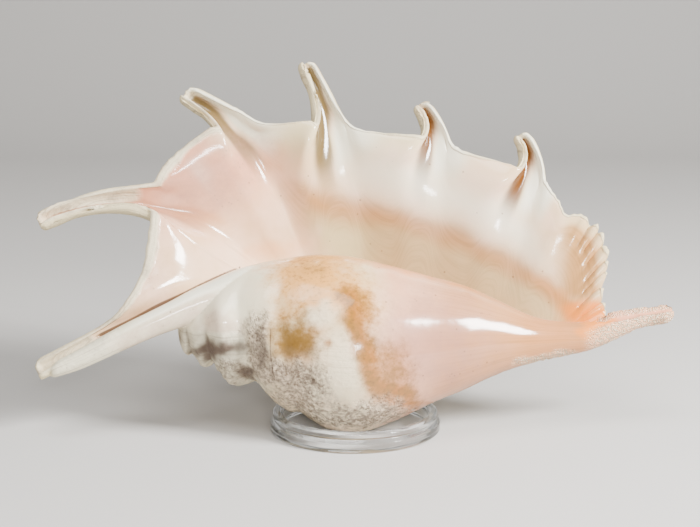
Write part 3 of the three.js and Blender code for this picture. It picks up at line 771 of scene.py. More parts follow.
def surface_places(mesh, fields, stage):
    """All that the masks are drawn from: where each vertex is seen, its part and its fields."""
    at = SimpleNamespace(points=mesh_points(mesh), normals=vertex_normals(mesh))
    at.plain_u, at.plain_v = seen_from_front(at.points, stage)
    # natural outlines wander by some 8 and quiver by some 5 steps of the view
    seed_set(WANDER_SEED)
    at.wander = np.array([noise_vector(Vector(p) * 60) for p in at.points])
    quiver = np.array([noise_vector(Vector(p) * 210) for p in at.points])
    at.u = at.plain_u + 8 * at.wander[:, 0] + 5 * quiver[:, 0]
    at.v = at.plain_v + 8 * at.wander[:, 1] + 5 * quiver[:, 1]
    part = fields[:, 0]
    at.body, at.fold, at.lip = part == BODY_PART, part == FOLD_PART, part == LIP_PART
    at.x, at.turn = fields[:, 1], fields[:, 2]
    for k, name in enumerate(LIP_FIELDS):
        setattr(at, name, fields[:, k + 1])
    at.front_lip = at.lip & (fields[:, -1] > 0)
    at.back_lip = at.lip & (fields[:, -1] < 0)
    at.first = at.number < 1.6
    at.facing = ease(-0.05, 0.25, -at.normals[:, 1] + 0.2 * at.normals[:, 2])
    at.front_body = (at.body | at.fold) * at.facing
    at.spire = ease(-50, -58, at.x) * ease(95, 125, at.turn)
    underside = ease(172, 200, at.turn) * ease(335, 310, at.turn) * ease(0.45, 0.1, at.normals[:, 2])
    at.outside = most(underside, at.spire)
    at.band_depth = at.plain_v + 5 * at.wander[:, 1] - level_on(BAND_LINE, at.plain_u)
    at.under_fold_line = at.plain_v - level_on(FOLD_LINE, at.plain_u)
    return at


def finger_masks(at):
    """Hollow of each finger, its own brown tint deepened with painted shade of the deep pocket: darkest
    beside the near flap and lighter towards the far one; and the far flap.
    """
    past, across = at.beyond, at.across
    opening = 0.3 * ease(-34, -8, past) + 0.4 * ease(-4, 12, past)
    # painted shade: the deep pocket of each finger is darkened in colour
    hollow_tint_and_shade = ease(opening, opening - 0.12, across) * ease(-0.9, -0.6, across) * ease(-34, -12, past)
    hollow_tint_and_shade = np.where(at.front_lip & (at.number > 1.6), hollow_tint_and_shade, 0.0)
    second = ease(2.5, 2.3, at.number)
    rusty = hollow_tint_and_shade * most(ease(4.4, 4.6, at.number), 0.4 * second)
    olive = hollow_tint_and_shade * ease(4.6, 4.4, at.number) * (1 - second)
    far_flap = ease(opening, opening + 0.15, across) * ease(1.6, 1.2, across) * ease(-32, -8, past)
    return hollow_tint_and_shade, rusty, olive, far_flap * (at.number > 2.5)


def bare_mask(at, hollow_tint_and_shade, sizes):
    """Bare, chalky shell: outside of the whorls, back of the lip, its margin and flaps of the fingers."""
    rim = sizes.bare_margin / MM * (0.7 + 0.8 * at.wander[:, 2] + 1.6 * ease(260, 200, at.u))
    margin = ease(rim * 1.6, rim * 0.3, at.edge)
    sides = ease(0, 12, at.beyond) * ease(0.3, 0.6, np.abs(at.across + 0.1)) * 0.8
    sides = sides * (1 - hollow_tint_and_shade * (at.number > 2.5))
    flaps = np.where(at.first, ease(2, 20, at.beyond), sides)
    bare = np.where(at.body, at.outside, 0.0)
    bare = np.where(at.fold, ease(-100, -135, at.x), bare)
    bare = np.where(at.back_lip, 1.0, bare)
    return np.where(at.front_lip, most(margin, flaps), bare)


def rosy_mask(at):
    """Pink glaze: strongest on the left lobe of the lip and on the front half of the body."""
    u, v = at.u, at.v
    below = ease(2, 22, at.band_depth)
    rosy = np.where(at.lip, 0.32 + 0.55 * ease(320, 250, u) * ease(320, 170, v + 0.2 * u), 0.0)
    rosy = np.where(at.lip, rosy * (1 - below * ease(290, 340, u)), rosy)
    rosy = np.where(at.body, ease(352, 400, u) * (0.65 + 0.2 * ease(480, 560, u)), rosy)
    rosy = np.where(at.lip, rosy * (1 - 0.85 * ease(185, 215, u) * ease(165, 125, v)), rosy)
    in_gutter = ease(0.3, 0.8, at.gutter) * ease(215, 260, u) * 0.85
    return np.where(at.front_lip & ~at.first, rosy * (1 - in_gutter), rosy)


def glaze_masks(at, far_flap):
    """Colours of the glaze: ivory green, greenish white, greyish pink, peach and the beige band. Parts of
    them are painted shade and painted light: greenish and beige shade in the trough, the deep front end and
    between the crimps, and lighter far flaps.
    """
    u, v, plain_u = at.u, at.v, at.plain_u
    front_lip, first, body, fold = at.front_lip, at.first, at.body, at.fold
    below = ease(2, 22, at.band_depth)
    between = front_lip & ~first & (at.number < 2.5)
    green_and_painted_shade = most(
        front_lip * below * ease(290, 350, u) * 0.9,
        fold * 0.25,
        at.front_body * ease(290, 250, u) * 0.45,
        # painted shade: greenish grey in the deep trough below the third and fourth fingers
        front_lip * patch(u, v, 292, 150, 22, 40, -35) * 0.6,
        front_lip * patch(u, v, 438, 190, 14, 28) * 0.5,
        # painted shade: greenish grey between the crimps of the front margin
        front_lip * ease(545, 580, plain_u),
        front_lip * far_flap * 0.75,
        at.back_lip * ease(-20, 0, at.beyond) * 0.8,
        front_lip * ease(14, 5, at.edge) * ease(230, 280, plain_u) * 0.5,
        at.front_body * patch(u, v, 336, 330, 16, 24) * 0.6,
    )
    pale_and_painted_light = most(
        fold * (0.4 + 0.6 * ease(11, 6, at.under_fold_line) * ease(110, 150, plain_u)),
        # painted light: the far flaps, turned away from the lamps, are painted lighter
        front_lip * far_flap,
        at.front_body * ease(285, 235, u) * 0.6,
        front_lip * bell(at.band_depth, -32, 24) * ease(320, 370, u) * ease(560, 520, u) * 0.7,
        at.front_body * ease(312, 292, u) * ease(300, 262, v) * 0.7,
    )
    mauve = most(
        body * patch(u, v, 425, 345, 66, 50, 0, 0.9) * 0.8,
        front_lip * patch(u, v, 200, 180, 70, 40, -30, 0.8) * 0.6,
        front_lip * patch(u, v, 150, 290, 40, 28, -40, 0.8) * 0.4,
        body * patch(u, v, 222, 330, 26, 18, 0, 0.6) * 0.5,
        fold * ease(7, 12, at.plain_v - level_on(FOLD_LINE[:-1], plain_u)) * 0.45,
    )
    peach = most(
        front_lip * patch(u, v, 590, 318, 30, 17, 12),
        front_lip * patch(u, v, 552, 294, 34, 12, 36) * 0.25,
        body * patch(u, v, 598, 326, 18, 9, -14),
        (front_lip & first) * ease(0.15, 0.9, at.gutter) * ease(-75, -20, at.beyond),
        between * bell(at.across, -0.1, 0.5) * ease(-60, -10, at.beyond) * 0.4,
        front_lip * patch(u, v, 270, 252, 34, 12, -12) * 0.35,
        body * stroke(u, v, CREST_LINE, 7, 0.9) * 0.5,
    )
    band = np.where(at.band_depth < 5, bell(at.band_depth, 5, 13), bell(at.band_depth, 5, 24))
    aperture = body * at.facing * ease(380, 480, plain_u) * ease(610, 580, plain_u) * 0.68
    gutters = ease(0.7, 0.2, np.abs(at.across + 0.15)) * ease(-50, -20, at.beyond) * 0.25
    beige_and_painted_shade = np.where(~front_lip, aperture, most(
        band * ease(262, 325, plain_u) * ease(640, 560, plain_u) * 0.8,
        ease(4, 20, at.band_depth) * ease(330, 400, plain_u) * 0.42,
        # painted shade: darker beige in the deep front end of the opening
        patch(u, v, 545, 290, 44, 15, 36) * 0.6,
        # painted shade: beige between the crimps of the front margin
        ease(545, 575, plain_u) * ease(312, 290, at.plain_v) * ease(3, 9, at.edge) * 0.75,
        np.where(first, 0.0, gutters),
    ))
    return dict(green_and_painted_shade=green_and_painted_shade, pale_and_painted_light=pale_and_painted_light, mauve=mauve, peach=peach, beige_and_painted_shade=beige_and_painted_shade)


def stain_masks(at):
    """Worn and stained colours of the front of the last whorl."""
    u, v, plain_u, plain_v = at.u, at.v, at.plain_u, at.plain_v
    left_of_streak = ease(6, -6, plain_u - level_on(STREAK_LEFT, plain_v))
    tan = most(
        patch(u, v, 314, 274, 42, 31, 5),
        patch(u, v, 346, 292, 28, 38, -20) * 0.85,
        patch(u, v, 290, 305, 20, 26, 0) * 0.6,
        patch(u, v, 304, 348, 36, 26, 0) * 0.65,
        stroke(u, v, OCHRE_ARCH, 3.4) * 0.95,
    )
    olive = most(
        patch(u, v, 296, 341, 23, 19, 25),
        patch(u, v, 283, 352, 13, 9, 20) * 0.8,
        patch(u, v, 303, 316, 5, 12) * 0.6,
        patch(u, v, 311, 268, 14, 12) * 0.35,
    )
    orange = most(
        stroke(u, v, RUSTY_STREAK, 13, 0.85),
        patch(u, v, 386, 374, 26, 32) * 0.7,
        patch(u, v, 362, 322, 14, 30) * 0.75,
        patch(plain_u, plain_v, 328, 343, 5, 4.5),
        patch(u, v, 287, 372, 15, 8) * 0.6,
        patch(u, v, 300, 330, 34, 34) * 0.35,
    )
    white = most(
        patch(u, v, 322, 316, 17, 13) * 0.9,
        patch(u, v, 336, 368, 26, 34, -12, 0.5) * left_of_streak,
        patch(u, v, 257, 350, 12, 26) * 0.7,
        patch(u, v, 330, 404, 46, 14) * 0.6,
    )
    speckled = most(
        patch(u, v, 268, 372, 18, 16) * 0.9,
        patch(u, v, 298, 388, 30, 25, 10) * left_of_streak,
        patch(u, v, 345, 415, 66, 13, 2),
        patch(u, v, 257, 350, 14, 34) * 0.8,
        patch(u, v, 234, 372, 24, 12) * 0.6,
    )
    stains = dict(tan=tan, olive=olive, orange=orange, white=white, speckled=speckled)
    return {name: at.front_body * value for name, value in stains.items()}


def wear_and_shade_masks(at, speckled):
    """Eroded, streaked and crusty places, the small pits, and painted shade under the knob, in the spire's
    sutures and over the spire's front.
    """
    u, v, plain_u, plain_v = at.u, at.v, at.plain_u, at.plain_v
    eroded = at.body * most(speckled, at.spire, at.outside * 0.35, ease(125, 155, at.x) * 0.7)
    suture = bell(np.mod(spire_phase(at.x, at.turn), 1.0), 0.69, 0.09)
    # painted shade: under the knob of glaze, in the sutures of the spire and over its front
    painted_shade = most(
        at.front_body * patch(plain_u, v, 217, 350, 34, 8, -6),
        at.front_body * patch(u, v, 246, 375, 11, 5) * 0.8,
        at.front_body * patch(u, v, 262, 352, 8, 16) * 0.7,
        at.body * (at.spire * suture * (0.3 + 0.65 * at.facing)),
        at.body * (at.spire * at.facing * 0.36),
    )
    from_trough = np.abs(np.mod(at.turn - CANAL_TROUGH_DEG + 540, 360) - 180)
    grain = at.body * most(
        stroke(u, v, CANAL_KEEL, 4, 0.6),
        ease(112, 124, at.x) * ease(34, 58, from_trough),
    )
    pit = at.front_body * most(
        patch(plain_u, plain_v, 313, 381, 2.6, 2.6),
        patch(plain_u, plain_v, 263, 328, 1.8, 2.6),
        patch(plain_u, plain_v, 286, 361, 1.4, 1.4),
    )
    radial = at.back_lip * ease(-2, -12, at.beyond)
    return dict(eroded=eroded, radial=radial, painted_shade=painted_shade, grain=grain, pit=pit)


def crack_and_crevice_shade_mask(at):
    """Fine cracks of the body, and a painted shade line along the crevice where the lip meets the fold."""
    others = np.nonzero(~at.lip)[0]
    tree = KDTree(len(others))
    for i in others:
        tree.insert(at.points[i], int(i))
    tree.balance()
    seen = (at.plain_u > 95) & (at.plain_u < 262) & (at.plain_v > 255)
    beside = np.nonzero(at.front_lip & seen)[0]
    gap = np.array([tree.find(at.points[i])[2] for i in beside]) / MM
    near_fold = stroke(at.plain_u[beside], at.plain_v[beside], FOLD_EDGE, 5, 1.0)
    # painted shade: a dark line along the crevice where the lip meets the fold
    crevice = np.zeros(len(at.points))
    crevice[beside] = np.maximum(near_fold, ease(4, 0.5, gap)) * ease(262, 240, at.plain_u[beside])
    return most(
        at.front_body * stroke(at.plain_u, at.plain_v, BODY_CRACK, 3.5, 1.0) * 0.95,
        at.front_body * stroke(at.plain_u, at.plain_v, ARCH_CRACK, 3.2, 1.0) * 0.94,
        crevice,
    )


def growth_places(at):
    """Place of each vertex along the growth lines, across them and past a finger's root, in mm."""
    lip, body, fold = at.lip, at.body, at.fold
    flow = np.zeros((len(at.points), 3))
    flow[lip] = np.stack([at.s[lip], at.edge[lip], at.beyond[lip].clip(-40, 80)], -1)
    around = np.radians(at.turn[body]) * 30
    flow[body] = np.stack([at.x[body], around, 0 * around], -1)
    flow[fold] = np.stack([at.x[fold], np.radians(at.turn[fold]) * 8, 0 * at.x[fold]], -1)
    return flow


def shell_masks(mesh, fields, seam, sizes, stage):
    """Where the shell is bare, pink, tan, stained and so on, and where shade or light is painted, as one
    value from 0 to 1 per vertex.
    """
    at = surface_places(mesh, fields, stage)
    hollow_tint_and_shade, rusty, olive, far_flap = finger_masks(at)
    masks = dict(gutter=rusty, hollow_tint_and_shade=olive, bare=bare_mask(at, hollow_tint_and_shade, sizes), rosy=rosy_mask(at))
    masks.update(glaze_masks(at, far_flap))
    masks.update(stain_masks(at))
    masks.update(wear_and_shade_masks(at, masks["speckled"]))
    masks["crack_and_crevice_shade"] = crack_and_crevice_shade_mask(at)
    edges = mesh_edges(mesh)
    for name in masks:
        if name in CRISP_MASKS:
            continue
        for _ in range(3):
            around = neighbour_mean(masks[name], edges)
            masks[name] = masks[name] + (0.5 + 0.5 * seam) * 0.6 * (around - masks[name])
    return masks, growth_places(at)


def store_masks(mesh, masks, flow):
    """Keeps the masks and the growth places as attributes, for the relief and the material to read."""
    for name, value in masks.items():
        layer = mesh.attributes.new(name, "FLOAT", "POINT")
        layer.data.foreach_set("value", np.asarray(value, np.float32))
    layer = mesh.attributes.new("flow", "FLOAT_VECTOR", "POINT")
    layer.data.foreach_set("vector", np.asarray(flow, np.float32).ravel())


def largest_skin(mesh):
    """Keeps only the largest connected skin."""
    edges = mesh_edges(mesh)
    label = np.arange(len(mesh.vertices))
    while True:
        low = label.copy()
        np.minimum.at(low, edges[:, 0], label[edges[:, 1]])
        np.minimum.at(low, edges[:, 1], label[edges[:, 0]])
        low = low[low]
        if (low == label).all():
            break
        label = low
    names, counts = np.unique(label, return_counts=True)
    keep = label == names[counts.argmax()]
    if keep.all():
        return
    work = bmesh.new()
    work.from_mesh(mesh)
    work.verts.ensure_lookup_table()
    bmesh.ops.delete(work, geom=[work.verts[i] for i in np.nonzero(~keep)[0]], context="VERTS")
    work.to_mesh(mesh)
    work.free()


def add(tree, kind, inputs=None, **settings):
    """One node with its settings; inputs holds a value or another node's output by socket name or number."""
    item = tree.nodes.new(kind)
    for name, value in settings.items():
        setattr(item, name, value)
    for key, value in (inputs or {}).items():
        socket = item.inputs[key]
        if isinstance(value, bpy.types.NodeSocket):
            tree.links.new(value, socket)
        else:
            socket.default_value = value
    return item


def maths(tree, operation, first, second=0.0, third=0.0):
    """Output of a Math node."""
    item = add(tree, "ShaderNodeMath", {0: first, 1: second, 2: third}, operation=operation)
    return item.outputs[0]


def mixed(tree, under, over, share):
    """Colour under with colour over laid on by share."""
    item = add(tree, "ShaderNodeMix", {0: share, 6: under, 7: over}, data_type="RGBA")
    return item.outputs[2]


def product(tree, first, second):
    return maths(tree, "MULTIPLY", first, second)


def most_of(tree, first, second):
    return maths(tree, "MAXIMUM", first, second)


def colour(value):
    """Four numbers of a colour without transparency."""
    return (*value[:3], 1.0)


def attribute(tree, name, output="Fac"):
    """Output that reads one of the masks kept on the mesh."""
    return add(tree, "ShaderNodeAttribute", attribute_name=name).outputs[output]


def noise(tree, vector, size_mm, detail=3.0, roughness=0.55, stretch=(1, 1, 1)):
    """Noise whose features are about size_mm wide."""
    scale = tuple(part / size_mm for part in stretch)
    mapped = add(tree, "ShaderNodeMapping", {"Vector": vector, "Scale": scale})
    return add(
        tree, "ShaderNodeTexNoise",
        {"Vector": mapped.outputs[0], "Scale": 1.0, "Detail": detail, "Roughness": roughness},
    ).outputs["Fac"]


def dots(tree, vector, size_mm, radius, soft):
    """Scattered dots about size_mm apart, 1 inside a dot."""
    mapped = add(tree, "ShaderNodeMapping", {"Vector": vector, "Scale": (1 / size_mm,) * 3})
    cell = add(tree, "ShaderNodeTexVoronoi", {"Vector": mapped.outputs[0], "Scale": 1.0})
    return smooth_range(tree, cell.outputs["Distance"], radius + soft, radius)


def smooth_range(tree, value, start, end, low=0.0, high=1.0):
    """Value carried smoothly from low at start to high at end."""
    item = add(
        tree, "ShaderNodeMapRange",
        {"Value": value, "From Min": start, "From Max": end, "To Min": low, "To Max": high},
        interpolation_type="SMOOTHSTEP",
    )
    return item.outputs["Result"]


def worn(tree, mask, wobble, amount=0.5, width=0.25):
    """Mask whose outline is broken up by a noise."""
    shifted = maths(tree, "MULTIPLY_ADD", wobble, amount, mask)
    broken = smooth_range(tree, shifted, 0.5 + amount / 2 - width, 0.5 + amount / 2 + width)
    return maths(tree, "MULTIPLY", broken, smooth_range(tree, mask, 0.0, 0.25))


def shell_patterns(tree):
    """Noises that the shell's colours and relief share, with the size of their features in mm."""
    place = add(tree, "ShaderNodeTexCoord").outputs["Object"]
    in_mm = add(tree, "ShaderNodeVectorMath", {0: place, "Scale": 1000.0}, operation="SCALE").outputs[0]
    flow = attribute(tree, "flow", "Vector")
    made = SimpleNamespace(in_mm=in_mm)
    made.broad = noise(tree, in_mm, 26, 3)
    made.medium = noise(tree, in_mm, 8, 4, 0.6)
    made.fine = noise(tree, in_mm, 2.2, 5, 0.65)
    made.streaks = noise(tree, flow, 2.6, 3, 0.6, (1.0, 0.07, 0.07))
    made.growth = noise(tree, flow, 1.9, 3, 0.6, (0.04, 1.0, 0.0))
    made.mottle = maths(tree, "MULTIPLY_ADD", made.fine, 0.4, product(tree, made.medium, 0.6))
    made.pits = dots(tree, in_mm, 1.3, 0.2, 0.3)
    made.grains = dots(tree, in_mm, 0.9, 0.25, 0.4)
    return made


def part_of(tree, name, wobble, amount, width, most_share=1.0):
    """Share of the colour of one mask, its outline broken up by a noise."""
    return product(tree, worn(tree, attribute(tree, name), wobble, amount, width), most_share)


def glaze_colour(tree, look, made):
    """Porcelain glaze: cream, ivory and pink, the beige band, finger hollows darkened with painted shade,
    and worn, stained patches.
    """
    broad, mottle = made.broad, made.mottle
    ivory_share = smooth_range(tree, broad, 0.4, 0.65, 0.0, 0.6)
    skin = mixed(tree, colour(look.cream), colour(look.ivory), ivory_share)
    # ivory glaze, with painted shade in the trough and between the crimps
    skin = mixed(tree, skin, colour(look.ivory), part_of(tree, "green_and_painted_shade", broad, 0.3, 0.5, 0.9))
    skin = mixed(tree, skin, colour(look.rose), part_of(tree, "rosy", broad, 0.35, 0.5, 0.95))
    # beige band, with painted shade in the front end of the opening and between the crimps
    skin = mixed(tree, skin, colour(look.beige_and_painted_shade), part_of(tree, "beige_and_painted_shade", broad, 0.25, 0.5, 0.9))
    growth_lines = smooth_range(tree, made.growth, 0.42, 0.62, 0.0, 0.3)
    skin = mixed(tree, skin, colour(look.olive), product(tree, attribute(tree, "beige_and_painted_shade"), growth_lines))
    skin = mixed(tree, skin, colour(look.peach), part_of(tree, "peach", broad, 0.3, 0.5, 0.9))
    # dark finger hollows: their brown tint deepened with painted shade
    skin = mixed(tree, skin, colour(look.gutter_rust_and_shade), attribute(tree, "gutter"))
    skin = mixed(tree, skin, colour(look.hollow_tint_and_shade), attribute(tree, "hollow_tint_and_shade"))
    # pale glaze, with painted light on the far flaps
    skin = mixed(tree, skin, colour(look.pale_and_painted_light), product(tree, attribute(tree, "pale_and_painted_light"), 0.85))
    skin = mixed(tree, skin, colour(look.mauve), part_of(tree, "mauve", mottle, 0.8, 0.5, 0.8))
    skin = mixed(tree, skin, colour(look.ochre), part_of(tree, "tan", mottle, 1.2, 0.5, 0.95))
    skin = mixed(tree, skin, colour(look.white), part_of(tree, "white", mottle, 1.6, 0.5, 0.65))
    olive_share = smooth_range(tree, mottle, 0.4, 0.6, 0.1, 0.7)
    rusty = mixed(tree, colour(look.orange), colour(look.olive), olive_share)
    skin = mixed(tree, skin, rusty, part_of(tree, "orange", mottle, 1.4, 0.5, 0.9))
    return mixed(tree, skin, colour(look.olive), part_of(tree, "olive", mottle, 1.5, 0.5, 0.85))


def chalk_colour(tree, look, made):
    """Bare shell: matt chalk with grey and pink clouds, dark growth lines and streaks along the fingers."""
    grey_share = smooth_range(tree, made.medium, 0.48, 0.75, 0.0, 0.55)
    chalk = mixed(tree, colour(look.chalk), colour(look.grey), grey_share)
    chalk = mixed(tree, chalk, colour(look.rose), smooth_range(tree, made.broad, 0.52, 0.72, 0.0, 0.3))
    # ivory and pale from their masks, which also hold painted shade and painted light
    chalk = mixed(tree, chalk, colour(look.ivory), product(tree, attribute(tree, "green_and_painted_shade"), 0.6))
    chalk = mixed(tree, chalk, colour(look.pale_and_painted_light), product(tree, attribute(tree, "pale_and_painted_light"), 0.7))
    chalk = mixed(tree, chalk, colour(look.brown), smooth_range(tree, made.growth, 0.5, 0.7, 0.0, 0.42))
    streaks = smooth_range(tree, made.streaks, 0.55, 0.75, 0.0, 0.3)
    return mixed(tree, chalk, colour(look.brown), product(tree, attribute(tree, "radial"), streaks))


def weathered_and_shaded(tree, look, made, base, bare, speckled):
    """Lays on grey speckle, soil, crust, cracks, pinholes and specks, which have aged the shell, and painted
    shade under the knob, on the spire and along the crevice by the fold.
    """
    lilac_share = smooth_range(tree, made.broad, 0.4, 0.6, 0.1, 0.4)
    lilac = mixed(tree, colour(look.white), colour(look.mauve), lilac_share)
    worn_grey = mixed(tree, lilac, colour(look.grey), smooth_range(tree, made.fine, 0.36, 0.62))
    filled_pits = product(tree, made.pits, smooth_range(tree, made.medium, 0.45, 0.65, 0.1, 0.6))
    speckle = mixed(tree, worn_grey, colour(look.brown), filled_pits)
    base = mixed(tree, base, speckle, product(tree, speckled, 0.92))
    soiled = most_of(tree, attribute(tree, "tan"), attribute(tree, "orange"))
    soil = product(tree, smooth_range(tree, made.fine, 0.5, 0.68, 0.0, 0.42), soiled)
    base = mixed(tree, base, colour(look.brown), soil)
    crust = mixed(tree, colour(look.crust), colour(look.white), made.grains)
    base = mixed(tree, base, crust, product(tree, attribute(tree, "grain"), 0.85))
    # painted shade under the knob and on the spire
    base = mixed(tree, base, colour(look.shade), part_of(tree, "painted_shade", made.medium, 0.6, 0.5))
    # the mask of the cracks and of the painted shade line of the crevice by the fold is a wide ramp, cut
    # sharply here so that the line is finer than the mesh
    fine_line = smooth_range(tree, attribute(tree, "crack_and_crevice_shade"), 0.86, 0.97, 0.0, 0.85)
    base = mixed(tree, base, colour(look.pit), fine_line)
    base = mixed(tree, base, colour(look.pit), attribute(tree, "pit"))
    freckles = product(tree, dots(tree, made.in_mm, 3.2, 0.1, 0.08), attribute(tree, "mauve"))
    freckles = product(tree, freckles, smooth_range(tree, made.medium, 0.45, 0.6, 0.0, 0.7))
    base = mixed(tree, base, colour(look.shade), freckles)
    glazed = maths(tree, "SUBTRACT", 1.0, bare)
    specks = product(tree, dots(tree, made.in_mm, 9, 0.045, 0.03), glazed)
    return mixed(tree, base, colour(look.brown), product(tree, specks, 0.5))


def shell_relief(tree, made, rough, speckled):
    """Height of what is too fine for the mesh: growth lines, chalk grain, pits and crust of the canal."""
    lines = maths(tree, "MULTIPLY_ADD", made.growth, 0.6, product(tree, made.fine, 0.5))
    relief = product(tree, rough, lines)
    crust = product(tree, attribute(tree, "grain"), made.grains)
    relief = maths(tree, "MULTIPLY_ADD", crust, 1.0, relief)
    relief = maths(tree, "MULTIPLY_ADD", product(tree, speckled, made.pits), -0.6, relief)
    return maths(tree, "MULTIPLY_ADD", made.medium, 0.1, relief)


def shell_material(look):
    """Marine shell, grown as calcite under a smooth porcelain glaze.

    The glaze gives sharp, wet highlights. Where it has worn through, the shell is matt and growth-lined.
    """
    material = bpy.data.materials.new("conch_shell_glaze_and_chalk")
    material.use_nodes = True
    tree = material.node_tree
    tree.nodes.clear()
    made = shell_patterns(tree)
    bare = worn(tree, attribute(tree, "bare"), made.medium, 0.5, 0.22)
    speckled = worn(tree, attribute(tree, "speckled"), made.mottle, 1.6, 0.4)
    base = mixed(tree, glaze_colour(tree, look, made), chalk_colour(tree, look, made), bare)
    base = weathered_and_shaded(tree, look, made, base, bare, speckled)
    rough = most_of(tree, bare, speckled)
    rough = most_of(tree, rough, product(tree, attribute(tree, "white"), 0.8))
    roughness = smooth_range(tree, rough, 0.0, 1.0, look.glaze_roughness, look.chalk_roughness)
    relief = shell_relief(tree, made, rough, speckled)
    bump = add(tree, "ShaderNodeBump", {"Height": relief, "Strength": 1.0, "Distance": 0.9 * MM})
    shader = add(
        tree, "ShaderNodeBsdfPrincipled",
        {"Base Color": base, "Roughness": roughness, "Normal": bump.outputs[0], "IOR": 1.5,
         "Subsurface Weight": 0.0},
    )
    out = add(tree, "ShaderNodeOutputMaterial")
    tree.links.new(shader.outputs[0], out.inputs[0])
    arrange(tree)
    return material


def arrange(tree):
    """Lays the nodes out in columns, so that the tree can be read."""
    for i, item in enumerate(tree.nodes):
        item.location = (240 * (i // 8), -260 * (i % 8))


def clear_plastic(look):
    """Acrylic, moulded and polished: clear, with bright rims and a faint blue-grey in its depth."""
    material = bpy.data.materials.new("clear_acrylic")
    material.use_nodes = True
    tree = material.node_tree
    tree.nodes.clear()
    shader = add(
        tree, "ShaderNodeBsdfPrincipled",
        {"Base Color": (0.97, 0.985, 0.99, 1.0), "Roughness": 0.04, "IOR": 1.49,
         "Transmission Weight": 1.0},
    )
    depth = add(
        tree, "ShaderNodeVolumeAbsorption",
        {"Color": colour(look.plastic_tint), "Density": look.plastic_absorption},
    )
    out = add(tree, "ShaderNodeOutputMaterial")
    tree.links.new(shader.outputs[0], out.inputs["Surface"])
    tree.links.new(depth.outputs[0], out.inputs["Volume"])
    arrange(tree)
    return material


def group_tree(name, inputs):
    """Geometry node tree with a geometry input, the named inputs and a geometry output."""
    tree = bpy.data.node_groups.new(name, "GeometryNodeTree")
    tree.interface.new_socket("Geometry", in_out="INPUT", socket_type="NodeSocketGeometry")
    for label, kind in inputs:
        tree.interface.new_socket(label, in_out="INPUT", socket_type=kind)
    tree.interface.new_socket("Geometry", in_out="OUTPUT", socket_type="NodeSocketGeometry")
    source = tree.nodes.new("NodeGroupInput")
    target = tree.nodes.new("NodeGroupOutput")
    return tree, source, target


def applied(item, tree, values):
    """Runs a geometry node tree on an object and keeps the result as its plain mesh."""
    modifier = item.modifiers.new(tree.name, "NODES")
    modifier.node_group = tree
    for socket in tree.interface.items_tree:
        if socket.in_out == "INPUT" and socket.name in values:
            modifier[socket.identifier] = values[socket.name]
    bpy.context.view_layer.update()
    graph = bpy.context.evaluated_depsgraph_get()
    mesh = bpy.data.meshes.new_from_object(item.evaluated_get(graph))
    item.modifiers.clear()
    old = item.data
    item.data = mesh
    bpy.data.meshes.remove(old)


def relief_tree():
    """Growth lines, streaks, grains and erosion, raised along the shell's own normals."""
    inputs = [
        (name, "NodeSocketFloat")
        for name in (
            "Growth height", "Growth pitch", "Streak height", "Streak pitch", "Grain height", "Grain size",
            "Erosion depth", "Erosion size", "Seed",
        )
    ]
    inputs.append(("Material", "NodeSocketMaterial"))
    tree, source, target = group_tree("Shell relief", inputs)
    given = source.outputs

    def named(name, kind="FLOAT"):
        item = add(tree, "GeometryNodeInputNamedAttribute", {"Name": name}, data_type=kind)
        return item.outputs["Attribute"]

    def lines(along, across):
        """Noise drawn out into lines, a little uneven along their length."""
        spot = add(tree, "ShaderNodeCombineXYZ", {0: along, 1: across, 2: given["Seed"]})
        inputs = {"Vector": spot.outputs[0], "Scale": 1.0, "Detail": 2.0}
        return add(tree, "ShaderNodeTexNoise", inputs).outputs["Fac"]

    position = add(tree, "GeometryNodeInputPosition").outputs[0]
    parts = add(tree, "ShaderNodeSeparateXYZ", {0: named("flow", "FLOAT_VECTOR")})
    across = maths(tree, "DIVIDE", parts.outputs[1], given["Growth pitch"])
    along = maths(tree, "DIVIDE", parts.outputs[0], given["Streak pitch"])
    growth = maths(tree, "SUBTRACT", lines(product(tree, along, 0.12), across), 0.5)
    streak = maths(tree, "SUBTRACT", lines(along, product(tree, across, 0.12)), 0.5)
    height = product(tree, growth, given["Growth height"])
    streaked = product(tree, product(tree, streak, given["Streak height"]), named("radial"))
    rough = maths(tree, "MULTIPLY_ADD", named("bare"), 0.85, 0.15)
    height = product(tree, maths(tree, "ADD", height, streaked), rough)
    grain_scale = maths(tree, "DIVIDE", 1.0, given["Grain size"])
    grains = add(tree, "ShaderNodeTexVoronoi", {"Vector": position, "Scale": grain_scale})
    rise = maths(tree, "SUBTRACT", 0.5, grains.outputs["Distance"])
    grainy = product(tree, product(tree, rise, given["Grain height"]), named("grain"))
    height = maths(tree, "ADD", height, grainy)
    lumps = add(
        tree, "ShaderNodeTexNoise",
        {"Vector": position, "Scale": maths(tree, "DIVIDE", 1.0, given["Erosion size"]), "Detail": 3.0,
         "Roughness": 0.6},
    )
    eroded = product(tree, maths(tree, "SUBTRACT", lumps.outputs["Fac"], 0.55), given["Erosion depth"])
    height = maths(tree, "ADD", height, product(tree, eroded, named("eroded")))
    normal = add(tree, "GeometryNodeInputNormal").outputs[0]
    offset = add(tree, "ShaderNodeVectorMath", {0: normal, "Scale": height}, operation="SCALE").outputs[0]
    moved = add(tree, "GeometryNodeSetPosition", {"Geometry": given["Geometry"], "Offset": offset})
    finish(tree, moved, given["Material"], target)
    return tree


def finish(tree, made, material, target):
    """Ends a geometry node tree: smooth shading, real geometry and its material."""
    smooth = add(tree, "GeometryNodeSetShadeSmooth", {0: made.outputs[0]})
    plain = add(tree, "GeometryNodeRealizeInstances", {0: smooth.outputs[0]})
    dressed = add(tree, "GeometryNodeSetMaterial", {0: plain.outputs[0], "Material": material})
    tree.links.new(dressed.outputs[0], target.inputs[0])
    arrange(tree)


